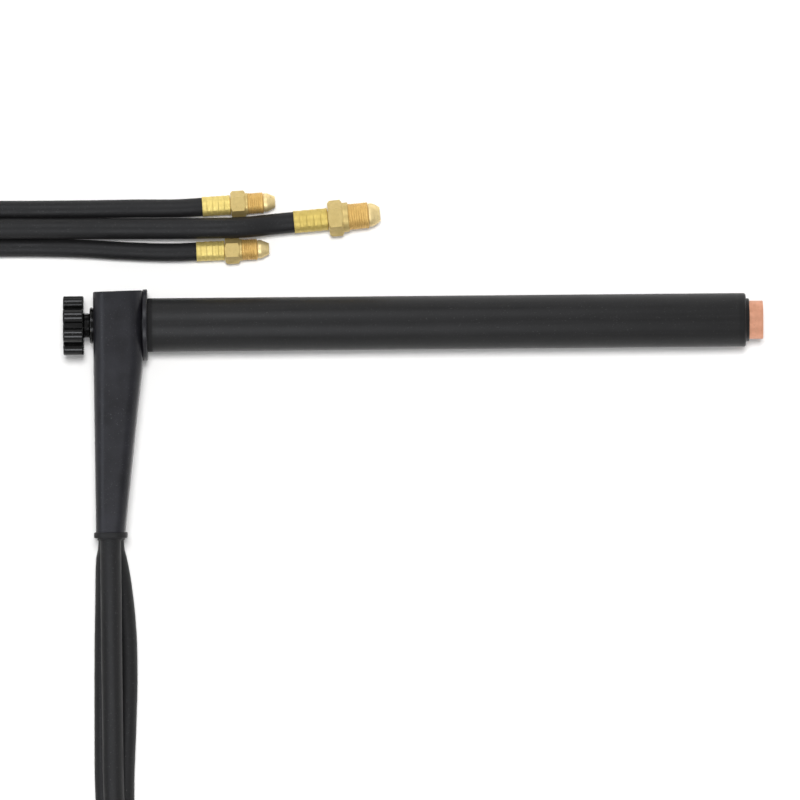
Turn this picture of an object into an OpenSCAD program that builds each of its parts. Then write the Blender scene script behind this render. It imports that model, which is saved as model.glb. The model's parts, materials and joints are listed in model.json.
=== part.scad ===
// Water-cooled electrode holder with its three hoses, lying on its side on a flat surface.
// The barrel runs along +X, the handle along -Y, and the surface lies below at -Z.
// The origin is on the barrel's axis, at the front face of the handle's collar.

/* [Barrel] */
// Outside diameter of the insulating sleeve
barrel_d = 32.5; // [30.5:0.05:36]
// Length of the sleeve in front of the collar
barrel_len = 362; // [220:1:450]
// Wall of the sleeve
barrel_wall = 3.2; // [2.2:0.1:3.4]
// Chamfer on the sleeve's front edge
barrel_edge = 1.5; // [0.5:0.1:2]
// Depth that the sleeve's rear end is turned down to enter the handle
spigot_cut = 0.9; // [0.5:0.1:1.4]
// Length of the turned-down end
spigot_len = 12; // [8:0.5:15]

/* [Water jacket] */
// Space between the sleeve's bore and the jacket tube
jacket_space = 1.075; // [0.8:0.025:1.6]
// Wall of the jacket tube
jacket_wall = 1.3; // [0.8:0.1:1.5]
// Outside diameter of the core tube that guides the push tube
core_d = 13; // [12.6:0.1:13.2]
// Wall of the core tube
core_wall = 1.3; // [0.8:0.1:1.5]
// Space on both sides of the water feed pipe
pipe_room = 0.2; // [0.1:0.05:0.8]
// Wall of the water feed pipe
pipe_wall = 0.4; // [0.3:0.05:0.8]
// Length of the spacer ring halfway along the barrel
spacer_len = 12; // [6:1:30]
// Length of core tube inside the rear block
core_insert = 10; // [6:0.5:12]
// Length of jacket tube inside the rear block
jacket_insert = 5; // [3:0.5:8]
// Length of water pipe inside the rear block
pipe_insert = 12; // [6:0.5:14]
// Distance from the water pipe's end to the nose
pipe_end = 30; // [5:1:60]

/* [Nose and collet] */
// Step from the jacket tube's outside down to the copper nose
nose_step = 0.35; // [0.2:0.05:1]
// Length of nose in front of the sleeve
nose_out = 10.4; // [8:0.1:16]
// Length of nose inside the front insulator
nose_seat = 6; // [4:0.5:10]
// Length of the nose's spigot inside the jacket tube
nose_spigot = 16; // [12:0.5:24]
// Thread diameter of the socket in the nose
socket_d = 13; // [11:0.1:16]
// Depth of the socket
socket_depth = 7.4; // [5:0.1:8]
// Electrode diameter that the collet takes
electrode_d = 4.8; // [1.6:0.1:5]
// Length of the collet's cone
cone_len = 6; // [4:0.5:8]
// Radius that the cone loses over its length
cone_drop = 1.2; // [0.8:0.1:1.4]
// Width of the collet's slits
slit_w = 0.8; // [0.4:0.1:0.8]
// Length of the collet's slits
slit_len = 20; // [10:1:26]
// Length of the front insulator inside the sleeve
insulator_len = 12; // [10:0.5:20]
// Length of the front insulator in front of the sleeve
insulator_out = 2; // [0:0.1:3]
// Length of core tube inside the nose
core_seat = 7; // [4:0.5:10]
// Length of the collet's tail inside the push tube
collet_tail = 8; // [4:0.5:12]
// Length of the collet's shank behind the nose
collet_back = 5; // [4:0.5:10]
// Straight length between the cone and the socket
cone_land = 0.9; // [0.6:0.1:2]
// Set-back of the collet's tip from the socket
tip_back = 0.4; // [0.2:0.1:0.6]
// Section of the nose seal
nose_seal_d = 0.8; // [0.6:0.1:1.2]

/* [Push tube and screw] */
// Outside diameter of the push tube and collet shank
push_d = 9.6; // [9:0.1:9.8]
// Wall of the push tube
push_wall = 1.3; // [1:0.1:1.5]
// Diameter of the draw screw
screw_d = 8; // [7:0.1:8.6]
// Reach of the draw screw inside the handle's rear face
screw_reach = 15.5; // [14:0.5:17]
// Pitch of the draw screw
screw_pitch = 1.5; // [1:0.25:2]
// Turns from clamped to open
screw_turns = 2; // [1:0.5:2]
// Length of the screw's nose inside the push tube
screw_nose = 7; // [5:0.5:10]
// Depth of the groove round the screw's nose
groove_depth = 1.2; // [0.8:0.1:1.4]
// Diameter of the two pins that hold the screw in the push tube
retaining_pin_d = 1.5; // [1:0.1:1.6]

/* [Knob] */
// Diameter over the lobes
knob_d = 38; // [30:0.5:42]
// Thickness of the knob
knob_t = 12.3; // [8:0.1:20]
// Number of lobes
knob_lobes = 8; // [5:1:10]
// Radius of one lobe
lobe_r = 4.4; // [3:0.1:5.5]
// Diameter of the hub in front of the knob
hub_d = 15; // [13:0.5:18]
// Length of the hub
hub_len = 3.4; // [3:0.1:8]
// Closed thickness at the knob's rear
knob_cap = 3.5; // [2:0.5:6]
// Diameter of the cross pin in the hub
cross_pin_d = 1.6; // [1:0.1:2]

/* [Handle] */
// Width of the handle's head along the barrel
handle_w = 29.7; // [28:0.1:36]
// Depth of the head across the barrel
handle_depth = 41.6; // [41:0.1:43]
// Height of the head above the barrel's axis
handle_top = 20.5; // [19.5:0.1:21.5]
// Length of the straight head below the axis
head_drop = 22; // [20:0.5:30]
// Distance from the axis to the end of the taper
taper_end = 124.5; // [80:0.5:125]
// Distance from the axis to the handle's end
handle_end = 128.2; // [126:0.1:140]
// Wall of the head
handle_wall = 1.2; // [0.8:0.1:1.2]
// Wall of the narrow end
neck_wall = 0.8; // [0.6:0.1:1.2]
// Set-back of the narrow end from the head's rear face
neck_back = 0.6; // [0:0.1:2]
// Corner radius of the head
corner_r = 8; // [6:0.5:10]
// Corner radius of the narrow end
neck_corner_r = 6; // [4:0.5:6.5]
// Rounding of the head's top edge
top_edge = 0.8; // [0.5:0.1:3]
// Diameter of the collar
collar_d = 43.3; // [42:0.1:48]
// Thickness of the collar
collar_t = 2.8; // [2:0.1:5]
// Thickness of the end ring
ring_t = 3.4; // [2:0.1:6]
// Height of the end ring over the handle
ring_proud = 1.2; // [0.4:0.1:2]
// Length of grommet inside the handle
grommet_depth = 8; // [5:0.5:12]
// Length of grommet below the handle
grommet_lip = 1.8; // [1:0.1:4]
// Least rubber beside a hose in the grommet
grommet_web = 0.2; // [0.15:0.05:0.6]
// Diameter of the rear gland
gland_d = 22; // [18:0.5:28]
// Thickness of the rear gland
gland_t = 2.3; // [2:0.1:5]

/* [Rear block] */
// Diameter of the block inside the head
block_d = 28; // [27:0.1:30]
// Length of the block inside the sleeve, in front of the collar's face
block_front = 8; // [6:0.5:14]
// Diameter of the threaded neck that carries the gland
block_neck_d = 14; // [13:0.1:16]
// Extra width of the block's foot on each side of the outer stems
foot_side = 0.5; // [0:0.1:1]
// Cut-back of the block's foot at each end
foot_back = 0.5; // [0:0.1:1]
// Closed thickness of the gland behind the neck
gland_lip = 0.8; // [0.5:0.1:1.2]
// Section of the screw's seal
stem_seal_d = 1.8; // [1.2:0.1:2]
// Diameter of a stem's root in the foot
stem_root = 6; // [5:0.1:6.4]
// Length of a stem's root
stem_root_len = 8; // [5:0.5:9]
// Distance from the axis to the underside of the block's foot
foot_drop = 18; // [16:0.5:20]
// Corner radius of the foot
foot_corner_r = 4.8; // [3:0.1:5]
// Length of a stem's shoulder below the foot
stem_shoulder = 3.3; // [2:0.1:5]
// Length of a stem inside its hose
stem_len = 17; // [12:0.5:24]
// Thickness of a hose clamp
clamp_t = 0.3; // [0.2:0.05:0.3]
// Width of a hose clamp
clamp_w = 6; // [4:0.5:8]

/* [Hoses] */
// Outside diameter of the gas and water hoses
small_d = 11.1; // [10:0.1:11.5]
// Bore of the gas and water hoses
small_bore = 6.4; // [5:0.1:7]
// Outside diameter of the power hose
power_d = 12.7; // [11.5:0.1:13.2]
// Bore of the power hose
power_bore = 7.6; // [6:0.1:9]
// Space between two hoses inside the handle
hose_space = 1.35; // [1.3:0.05:1.6]
// Side step of the gas and water hoses from the power hose
hose_step = 2.1; // [1:0.1:2.2]
// Length of an inside stretch below the grommet
hose_out = 1; // [0.5:0.1:3]
// Straight start of a lead below the handle
exit_straight = 3; // [2:0.5:8]

/* [Hose ends] */
// Wall of a ferrule
ferrule_wall = 0.45; // [0.3:0.05:0.8]
// Length of a small ferrule
small_ferrule = 17; // [12:0.5:24]
// Length of the power ferrule
power_ferrule = 20.6; // [14:0.1:28]
// Front wall of a ferrule
ferrule_front = 1.5; // [1:0.1:2]
// Diameter of a small nipple's neck
small_neck = 8; // [7:0.1:8.4]
// Diameter of the power nipple's neck
power_neck = 9.6; // [8.6:0.1:10]
// Width across flats of a small nut
small_af = 14.29; // [14:0.01:14.6]
// Width across flats of the power nut
power_af = 19.05; // [18:0.01:20]
// Length of a nut's hexagon
hex_len = 8.8; // [6:0.1:12]
// Length of a small nut's shoulder between hexagon and thread
small_shoulder = 1.6; // [1:0.1:4]
// Length of the power nut's shoulder between hexagon and thread
power_shoulder = 3.4; // [1:0.1:5]
// Step from the flats down to the shoulder
shoulder_step = 0.6; // [0.2:0.1:0.7]
// Thread diameter of the small nuts
small_thread = 12.7; // [12:0.05:13]
// Thread diameter of the power nut
power_thread = 15.875; // [15:0.005:17]
// Thread length of the small nuts
small_thread_len = 9.2; // [6:0.1:14]
// Thread length of the power nut
power_thread_len = 12.1; // [8:0.1:16]
// Length of a nipple's nose in front of its nut
tip_len = 7; // [6:0.1:12]
// Step from the thread's radius down to the nipple's nose
tip_step = 0.8; // [0.4:0.1:1]
// Bore of a nipple
nipple_bore = 4.6; // [3:0.1:5]

/* [Coil] */
// Turns of the stored coil, a whole number and a quarter
coil_turns = 5.25; // [4.25:1:6.25]
// Radius at which the winding turns back
coil_r = 52; // [50:1:56]
// Height of the coil on its straps
coil_lift = 1.6; // [1.5:0.1:2]
// Space between hoses in the coil
coil_gap = 0.5; // [0.45:0.05:0.6]
// How far the winding dips inward where it climbs
coil_dip = 14; // [13:0.5:15]
// Width of a strap
strap_w = 16; // [10:1:25]
// Thickness of a strap
strap_t = 1.2; // [0.8:0.1:1.4]
// Corner radius of a strap
strap_r = 6; // [4:0.5:8]

/* [Clearances] */
// Radial clearance of pieces fixed in each other
fit = 0.05; // [0.02:0.01:0.1]
// Radial clearance of pieces that turn or slide
run = 0.08; // [0.03:0.01:0.1]
// Gap between faces of pieces that move apart
gap = 0.3; // [0.2:0.05:0.5]

/* [Hidden] */
$fn = 96;

black = "#2c2c2f";
shell = "#35363a";
rubber = "#29292b";
brass = "#c9a95c";
crimp = "#d9c46a";
copper = "#d0936f";
over = 1;

// Radii along the barrel
barrel_bore = barrel_d - 2 * barrel_wall;
spigot_d = barrel_d - 2 * spigot_cut;
jacket_d = barrel_bore - 2 * jacket_space;
jacket_bore = jacket_d - 2 * jacket_wall;
nose_d = jacket_d - 2 * nose_step;
core_bore = core_d - 2 * core_wall;
push_bore = push_d - 2 * push_wall;
pipe_y = (core_d + jacket_bore) / 4;
pipe_d = (jacket_bore - core_d) / 2 - 2 * pipe_room;

// Places along X, from the knob to the nose
travel = screw_pitch * screw_turns;
rear_x = -collar_t - handle_w;
inner_rear_x = rear_x + handle_wall;
gland_x = rear_x - gland_t;
hub_x = gland_x - gap;
knob_x = hub_x - hub_len;
knob_back_x = knob_x - knob_t;
screw_x = rear_x + screw_reach;
pin_x = screw_x + screw_nose / 2;
push_x = screw_x + gap / 2;
push_stop_x = push_x - travel - gap;
core_x = block_front - core_insert;
jacket_x = block_front - jacket_insert;
pipe_x = block_front - pipe_insert;
tip_x = barrel_len + nose_out;
socket_x = tip_x - socket_depth;
cone_end_x = socket_x - cone_land;
cone_x = cone_end_x - cone_len;
nose_x = barrel_len - nose_seat;
nose_back_x = nose_x - nose_spigot;
nose_seal_x = nose_x + nose_seat / 2;
collet_x = nose_back_x - collet_back;
collet_tip_x = socket_x - tip_back;
insulator_x = barrel_len - insulator_len;

// Hoses inside the handle: power on top, water and gas below, stepped to either side
power_r = power_d / 2;
small_r = small_d / 2;
step_pw = sqrt(pow(power_r + small_r + hose_space, 2) - pow(hose_step, 2));
step_wg = sqrt(pow(small_d + hose_space, 2) - pow(2 * hose_step, 2));
stack = power_r + step_pw + step_wg + small_r;
neck_w = max(power_d, small_d + 2 * hose_step) + 2 * (grommet_web + neck_wall);
neck_depth = stack + 2 * (grommet_web + neck_wall);
neck_x = rear_x + neck_back + neck_w / 2;
power_z = stack / 2 - power_r;
water_z = power_z - step_pw;
gas_z = water_z - step_wg;
exit_y = -handle_end - grommet_lip - hose_out;
stem_y = -foot_drop - stem_shoulder;
stem_root_y = stem_root_len - foot_drop;
neck_end_x = gland_x + gland_lip;
seal_seat_d = screw_d + 2 * run + 2 * stem_seal_d + 2 * fit;
power_at = [neck_x, power_z];
water_at = [neck_x - hose_step, water_z];
gas_at = [neck_x + hose_step, gas_z];

// The surface that everything lies on
table_z = -collar_d / 2;

// Route of the three hoses as one bundle. A row is x, y, the gas hose's place to the left of
// travel, the water hose's to the right, and heights of gas, power and water over the surface.
lead_rows = [
    [-23.2, -141, 3.6, 3.6, 8.7, 33.5, 20.4],
    [-23.2, -148, 5, 3.95, 8.4, 33.1, 19.9],
    [-23.2, -166, 7.5, 4.4, 7.7, 31, 16.9],
    [-23.3, -186, 9.2, 4.9, 6.8, 27.4, 12.8],
    [-23.3, -210, 9.6, 5.4, 6, 22.6, 9],
    [-23.2, -240, 8.6, 5.8, 5.8, 18.8, 6.4],
    [-23.2, -270, 7.2, 6, 5.8, 17.4, 5.8],
    [-23.2, -300, 6, 6, 5.8, 17.2, 5.8],
    [-29, -330, 6, 6, 5.8, 17.2, 5.8],
    [-46, -356, 6, 6, 5.8, 17.2, 5.8],
    [-72, -373, 6, 6, 6, 17.4, 6],
    [-103, -379, 6, 6, 6.3, 17.6, 6.3],
    [-140, -380.5, 5.9, 5.9, 6.7, 17.9, 6.7],
    [-178, -380.5, 5.8, 5.8, 7, 18, 7]
];
tail_rows = [
    [-340, -230, 5.8, 5.8, 30.6, 41.6, 30.6],
    [-340.5, -204, 5.9, 5.9, 29.6, 40.8, 29.6],
    [-340.5, -176, 6, 6, 25.6, 37, 25.6],
    [-340.5, -148, 6, 6, 19.6, 31, 19.6],
    [-340.5, -118, 6, 6, 13.4, 24.8, 13.4],
    [-340.5, -88, 6, 6, 8.6, 20, 8.6],
    [-340.5, -58, 6, 6, 6.2, 17.8, 6.2],
    [-340.5, -26, 6.2, 6.2, 5.8, 17.2, 5.8],
    [-335, 6, 6.6, 6.6, 5.8, 17, 5.8],
    [-317, 35, 7.6, 7.6, 5.8, 16, 5.8],
    [-289, 53, 9, 9, 5.8, 14.8, 5.8],
    [-259, 59, 10.4, 10.4, 5.8, 13, 5.8],
    [-230, 59.4, 11.6, 11.6, 5.8, 10.4, 5.8],
    [-200, 59.3, 12.1, 12, 5.8, 9, 5.8],
    [-168, 59.4, 11.8, 11.6, 5.8, 10.4, 5.8],
    [-134, 59.4, 11.6, 11.4, 5.8, 10.9, 5.8],
    [-100, 59.2, 11.6, 11.4, 5.8, 10.9, 5.8],
    [-67, 59, 11.6, 11.4, 5.8, 10.9, 5.8]
];

// Last free points of each hose, its ferrule's place on the surface, and the way it points
gas_last = [[-36, 70.6, 5.9], [-8, 70.8, 6.4]];
power_last = [[-38, 58.8, 10.9], [-12, 58.6, 11], [16, 58.4, 12.2], [40, 58.4, 14], [60, 58.9, 13.6]];
water_last = [[-40, 46.8, 5.9], [-12, 45, 6.4]];
gas_end = [33.75, 71.5];
power_end = [89.2, 61.6];
water_end = [29.9, 44.4];
gas_turn = 3.4;
power_turn = 5;
water_turn = 1.7;

// Coil: the bundle winds in on the lower layer, climbs over half a turn and winds out above it
coil_at = [-226, -267];
loop_rings = 24;
coil_side = (small_d + coil_gap) / 2;
coil_step = 4 * coil_side;
coil_rise = sqrt(pow(power_r + small_r + coil_gap, 2) - pow(coil_side, 2));
coil_layer = small_r + coil_rise + power_r + coil_gap;
coil_middle = 180 * coil_turns;
coil_outer = coil_r + coil_step * coil_turns / 2;
coil_top = coil_lift + small_r + coil_layer + coil_rise + power_r;
strap_turns = [145, 315];

function unit(v) = v / norm(v);
function smooth(u) = u * u * (3 - 2 * u);
function climb(phi) = phi <= -90 ? 0 : phi >= 90 ? 1 : smooth((phi + 90) / 180);
function wind_r(phi) = abs(phi) >= 90
    ? coil_r + coil_step * abs(phi) / 360
    : coil_r + coil_step * (phi * phi / 64800 + 1 / 8) - coil_dip * pow(cos(phi), 2);

// A point of the coil: a is the angle wound so far, side is outward, rise is over the lowest hoses
function coil_point(a, side, rise) =
    let (phi = a - coil_middle, r = wind_r(phi) + side, turn = -90 - a)
    [coil_at[0] + r * cos(turn), coil_at[1] + r * sin(turn),
        table_z + coil_lift + small_r + climb(phi) * coil_layer + rise];
function coil_way(a, side, rise) =
    unit(coil_point(a + 0.5, side, rise) - coil_point(a - 0.5, side, rise));
function coil_path(side, rise, d) =
    let (last = 360 * coil_turns, n = loop_rings * coil_turns)
    concat(
        [coil_point(0, side, rise) - d * coil_way(0, side, rise)],
        [for (i = [0 : n]) coil_point(360 * i / loop_rings, side, rise)],
        [coil_point(last, side, rise) + d * coil_way(last, side, rise)]
    );

// Left of travel in plan, from the neighbours of row i
function left_of(rows, i) =
    let (a = rows[max(i - 1, 0)], b = rows[min(i + 1, len(rows) - 1)], t = unit([b[0] - a[0], b[1] - a[1]]))
    [-t[1], t[0]];
function row_point(rows, i, side, height) =
    let (l = left_of(rows, i))
    [rows[i][0] + side * l[0], rows[i][1] + side * l[1], table_z + height];
function gas_points(rows) = [for (i = [0 : len(rows) - 1]) row_point(rows, i, rows[i][2], rows[i][4])];
function power_points(rows) = [for (i = [0 : len(rows) - 1]) row_point(rows, i, 0, rows[i][5])];
function water_points(rows) = [for (i = [0 : len(rows) - 1]) row_point(rows, i, -rows[i][3], rows[i][6])];
function on_table(points) = [for (p = points) [p[0], p[1], table_z + p[2]]];
function way(turn) = [cos(turn), sin(turn), 0];
function seat(end, af) = [end[0], end[1], table_z + af / 2];

gas_coil = coil_path(coil_side, 0, small_d);
power_coil = coil_path(0, coil_rise, power_d);
water_coil = coil_path(-coil_side, 0, small_d);

function lead_path(at, rows, coil) = concat(
    [[at[0], exit_y, at[1]], [at[0], exit_y - exit_straight, at[1]]], rows, [coil[0]]
);
function tail_path(coil, rows, last, end, turn, d, inside) = concat(
    [coil[len(coil) - 1]], rows, on_table(last),
    [end - d * way(turn), end, end + inside * way(turn)]
);

// Least gap between two hoses on their ring centres, leaving out neighbours closer than skip rings
function least_gap(a, b, d, skip) = min([
    for (i = [0 : len(a) - 1]) for (j = [0 : len(b) - 1])
        if (abs(i - j) >= skip) norm(a[i] - b[j]) - d
]);
echo(gas_coil_gap = least_gap(gas_coil, gas_coil, small_d, loop_rings / 2));
echo(power_coil_gap = least_gap(power_coil, power_coil, power_d, loop_rings / 2));
echo(water_coil_gap = least_gap(water_coil, water_coil, small_d, loop_rings / 2));
echo(gas_water_gap = least_gap(gas_coil, water_coil, small_d, 0));
echo(gas_power_gap = least_gap(gas_coil, power_coil, small_r + power_r, 0));
echo(water_power_gap = least_gap(water_coil, power_coil, small_r + power_r, 0));

// A closed tube of flat sides along a path, square at both ends
function way_at(path, i, first, last) = i == 0 ? first : i == len(path) - 1 ? last
    : unit(unit(path[i + 1] - path[i]) + unit(path[i] - path[i - 1]));
function ring(c, t, d, n) =
    let (s = unit(cross([0, 0, 1], t)), u = cross(t, s))
    [for (j = [0 : n - 1]) c + d / 2 * (cos(360 * j / n) * s + sin(360 * j / n) * u)];
module tube(path, d, n, first, last) {
    skin([for (i = [0 : len(path) - 1]) ring(path[i], way_at(path, i, first, last), d, n)]);
}
// A closed solid through rings of equal count, each running counter-clockwise about the way on
module skin(rings) {
    m = len(rings);
    n = len(rings[0]);
    sides = [
        for (i = [0 : m - 2]) for (j = [0 : n - 1])
            let (k = (j + 1) % n, a = i * n + j, b = i * n + k)
            each [[a, a + n, b], [b, a + n, b + n]]
    ];
    start = [for (j = [1 : n - 2]) [0, j, j + 1]];
    finish = [for (j = [1 : n - 2]) (m - 1) * n * [1, 1, 1] + [0, j + 1, j]];
    polyhedron([for (r = rings) each r], concat(sides, start, finish));
}

module rod_x(d, from, to) {
    translate([from, 0, 0]) rotate([0, 90, 0]) cylinder(d = d, h = to - from);
}
module cone_x(d1, d2, from, to) {
    translate([from, 0, 0]) rotate([0, 90, 0]) cylinder(d1 = d1, d2 = d2, h = to - from);
}
module tube_x(d, bore, from, to) {
    difference() {
        rod_x(d, from, to);
        rod_x(bore, from - over, to + over);
    }
}
module ring_x(wire_d, inner_d, at) {
    translate([at, 0, 0]) rotate([0, 90, 0])
        rotate_extrude() translate([(inner_d + wire_d) / 2, 0]) circle(d = wire_d, $fn = 32);
}
module drop(at, d, from, to) {
    translate([at[0], from, at[1]]) rotate([90, 0, 0]) cylinder(d = d, h = from - to);
}
module rounded(w, h, r) {
    square([w - 2 * r, h], center = true);
    square([w, h - 2 * r], center = true);
    for (x = [-1, 1]) for (y = [-1, 1])
        translate([x * (w / 2 - r), y * (h / 2 - r)]) circle(r);
}
// A plate of rounded outline from height y down by t
module slab(x, w, depth, r, y, t) {
    translate([x, y, 0]) rotate([90, 0, 0]) linear_extrude(t) rounded(w, depth, r);
}

module barrel_sleeve() {
    color(black) difference() {
        union() {
            rod_x(spigot_d, -spigot_len, over);
            rod_x(barrel_d, 0, barrel_len - barrel_edge);
            cone_x(barrel_d, barrel_d - 2 * barrel_edge, barrel_len - barrel_edge, barrel_len);
        }
        rod_x(barrel_bore, -spigot_len - over, barrel_len + over);
    }
}
module front_collar() {
    color(black) tube_x(collar_d, spigot_d + 2 * fit, -collar_t, 0);
}

// A rounded rectangle at height y, counter-clockwise seen from above the handle
corner_steps = 8;
corners = [[1, 1], [-1, 1], [-1, -1], [1, -1]];
function outline(x, y, w, depth, r) = [
    for (k = [0 : 3]) for (i = [0 : corner_steps])
        let (turn = 90 * (k + i / corner_steps), c = corners[k])
        [x + c[0] * (w / 2 - r) + r * cos(turn), y, c[1] * (depth / 2 - r) + r * sin(turn)]
];
// Outside of the handle, or with a wall its inside
module handle_form(wall, end_wall, past) {
    head_w = handle_w - 2 * wall;
    head_x = rear_x + handle_w / 2;
    depth = handle_depth - 2 * wall;
    r = corner_r - wall;
    top = handle_top - wall;
    end_w = neck_w - 2 * end_wall;
    end_depth = neck_depth - 2 * end_wall;
    end_r = neck_corner_r - end_wall;
    skin([
        outline(head_x, top, head_w - 2 * top_edge, depth - 2 * top_edge, r - top_edge),
        outline(head_x, top - top_edge, head_w, depth, r),
        outline(head_x, -head_drop, head_w, depth, r),
        outline(neck_x, -taper_end, end_w, end_depth, end_r),
        outline(neck_x, -handle_end - past, end_w, end_depth, end_r)
    ]);
}
module handle_half(side) {
    reach = handle_depth;
    color(shell) intersection() {
        difference() {
            handle_form(0, 0, 0);
            handle_form(handle_wall, neck_wall, over);
            rod_x(spigot_d + 2 * fit, -collar_t - 2 * handle_wall, over);
            rod_x(block_neck_d + 2 * fit, rear_x - over, inner_rear_x + over);
        }
        translate([rear_x - over, -handle_end - over, side > 0 ? 0 : -reach])
            cube([handle_w + 2 * over, handle_end + handle_top + 2 * over, reach]);
    }
}
module handle_upper() {
    handle_half(1);
}
module handle_lower() {
    handle_half(-1);
}
module end_ring() {
    low = handle_end + gap;
    outer_w = neck_w + 2 * ring_proud;
    outer_depth = neck_depth + 2 * ring_proud;
    color(rubber) difference() {
        slab(neck_x, outer_w, outer_depth, neck_corner_r + ring_proud, ring_t - low, ring_t);
        slab(neck_x, neck_w + 2 * fit, neck_depth + 2 * fit, neck_corner_r + fit,
            ring_t - low + over, ring_t + 2 * over);
    }
}
module hose_grommet() {
    w = neck_w - 2 * (neck_wall + fit);
    depth = neck_depth - 2 * (neck_wall + fit);
    top = grommet_depth - handle_end;
    low = -handle_end - grommet_lip;
    color(rubber) difference() {
        slab(neck_x, w, depth, neck_corner_r - neck_wall - fit, top, top - low);
        drop(power_at, power_d + 2 * fit, top + over, low - over);
        for (at = [water_at, gas_at]) drop(at, small_d + 2 * fit, top + over, low - over);
    }
}

module rear_block() {
    foot_w = 2 * (hose_step + foot_corner_r + foot_side);
    foot_depth = step_pw + step_wg + 2 * (foot_corner_r - foot_back);
    foot_z = (power_z + gas_z) / 2;
    color(brass) difference() {
        union() {
            rod_x(block_d, inner_rear_x + fit, -spigot_len);
            rod_x(barrel_bore - 2 * fit, -spigot_len - over, block_front);
            rod_x(block_neck_d, neck_end_x, inner_rear_x + over);
            translate([0, 0, foot_z]) slab(neck_x, foot_w, foot_depth, foot_corner_r, -block_d / 4,
                foot_drop - block_d / 4);
        }
        rod_x(screw_d + 2 * run, gland_x, push_stop_x + over);
        rod_x(push_d + 2 * run, push_stop_x, block_front + over);
        rod_x(core_d + 2 * fit, core_x, block_front + over);
        rod_x(jacket_d + 2 * fit, jacket_x, block_front + over);
        rod_x(seal_seat_d, gland_x, neck_end_x + stem_seal_d + fit);
        translate([0, pipe_y, 0]) rod_x(pipe_d + 2 * fit, pipe_x, block_front + over);
        for (at = [gas_at, power_at, water_at])
            drop(at, stem_root + 2 * fit, stem_root_y, -foot_drop - over);
    }
}

module rear_gland() {
    color(black) difference() {
        rod_x(gland_d, gland_x, rear_x);
        rod_x(block_neck_d + 2 * fit, neck_end_x, rear_x + over);
        rod_x(screw_d + 2 * gap, gland_x - over, rear_x);
    }
}
module stem_seal() {
    color(rubber) ring_x(stem_seal_d, screw_d + 2 * run, neck_end_x + stem_seal_d / 2);
}
module jacket_tube() {
    color(copper) tube_x(jacket_d, jacket_bore, jacket_x, nose_x);
}
module core_tube() {
    color(copper) tube_x(core_d, core_bore, core_x, nose_back_x + core_seat);
}
module water_pipe() {
    color(copper) translate([0, pipe_y, 0])
        tube_x(pipe_d, pipe_d - 2 * pipe_wall, pipe_x, nose_back_x - pipe_end);
}
module centre_spacer() {
    color(black) tube_x(barrel_bore - 2 * fit, jacket_d + 2 * fit,
        (barrel_len - spacer_len) / 2, (barrel_len + spacer_len) / 2);
}
module front_insulator() {
    color(black) difference() {
        rod_x(barrel_bore - 2 * fit, insulator_x, barrel_len + insulator_out);
        rod_x(nose_d + 2 * fit, insulator_x - over, barrel_len + insulator_out + over);
        rod_x(jacket_d + 2 * fit, insulator_x - over, nose_x);
        rod_x(nose_d + 2 * nose_seal_d + 4 * fit, nose_seal_x - nose_seal_d / 2 - fit,
            nose_seal_x + nose_seal_d / 2 + fit);
    }
}
module nose_seal() {
    color(rubber) ring_x(nose_seal_d, nose_d + 2 * fit, nose_seal_x);
}
module nose_body() {
    bore = push_d + 2 * run;
    color(copper) difference() {
        union() {
            rod_x(jacket_bore - 2 * fit, nose_back_x, nose_x + over);
            rod_x(nose_d, nose_x, tip_x);
        }
        rod_x(core_d + 2 * fit, nose_back_x - over, nose_back_x + core_seat);
        rod_x(bore, nose_back_x, cone_x);
        cone_x(bore, bore - 2 * cone_drop, cone_x, cone_end_x);
        rod_x(bore - 2 * cone_drop, cone_end_x - over / 100, socket_x + over);
        rod_x(socket_d, socket_x, tip_x + over);
    }
}
module collet() {
    color(copper) difference() {
        union() {
            rod_x(push_bore - 2 * fit, collet_x - collet_tail, collet_x + over);
            rod_x(push_d, collet_x, cone_x);
            cone_x(push_d, push_d - 2 * cone_drop, cone_x, cone_end_x);
            rod_x(push_d - 2 * cone_drop, cone_end_x, collet_tip_x);
        }
        rod_x(electrode_d, collet_x - collet_tail - over, collet_tip_x + over);
        for (turn = [0, 90]) rotate([turn, 0, 0])
            translate([collet_tip_x - slit_len, -push_d, -slit_w / 2])
                cube([slit_len + over, 2 * push_d, slit_w]);
    }
}
pin_z = push_bore / 2 - groove_depth + retaining_pin_d / 2;
pin_len = 2 * sqrt(pow(push_d / 2, 2) - pow(pin_z + retaining_pin_d / 2, 2)) - fit;
module retaining_pin_pair(d, length) {
    for (side = [-1, 1]) translate([pin_x, 0, side * pin_z])
        rotate([90, 0, 0]) cylinder(d = d, h = length, center = true, $fn = 32);
}
module push_tube() {
    color(copper) difference() {
        tube_x(push_d, push_bore, push_x, collet_x);
        retaining_pin_pair(retaining_pin_d + 2 * fit, push_d + over);
    }
}
module retaining_pins() {
    color("silver") retaining_pin_pair(retaining_pin_d, pin_len);
}
module draw_screw() {
    groove = retaining_pin_d + 2 * gap;
    color(brass) difference() {
        union() {
            rod_x(screw_d, knob_back_x + knob_cap, screw_x);
            rod_x(push_bore - 2 * run, screw_x - over, screw_x + screw_nose);
        }
        difference() {
            rod_x(push_d, pin_x - groove / 2, pin_x + groove / 2);
            rod_x(2 * pin_z - retaining_pin_d - 2 * run, pin_x - groove, pin_x + groove);
        }
        hub_pin(cross_pin_d + 2 * fit, screw_d + over);
    }
}
module hub_pin(d, length) {
    translate([hub_x - hub_len / 2, 0, 0]) rotate([90, 0, 0])
        cylinder(d = d, h = length, center = true, $fn = 32);
}
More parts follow.
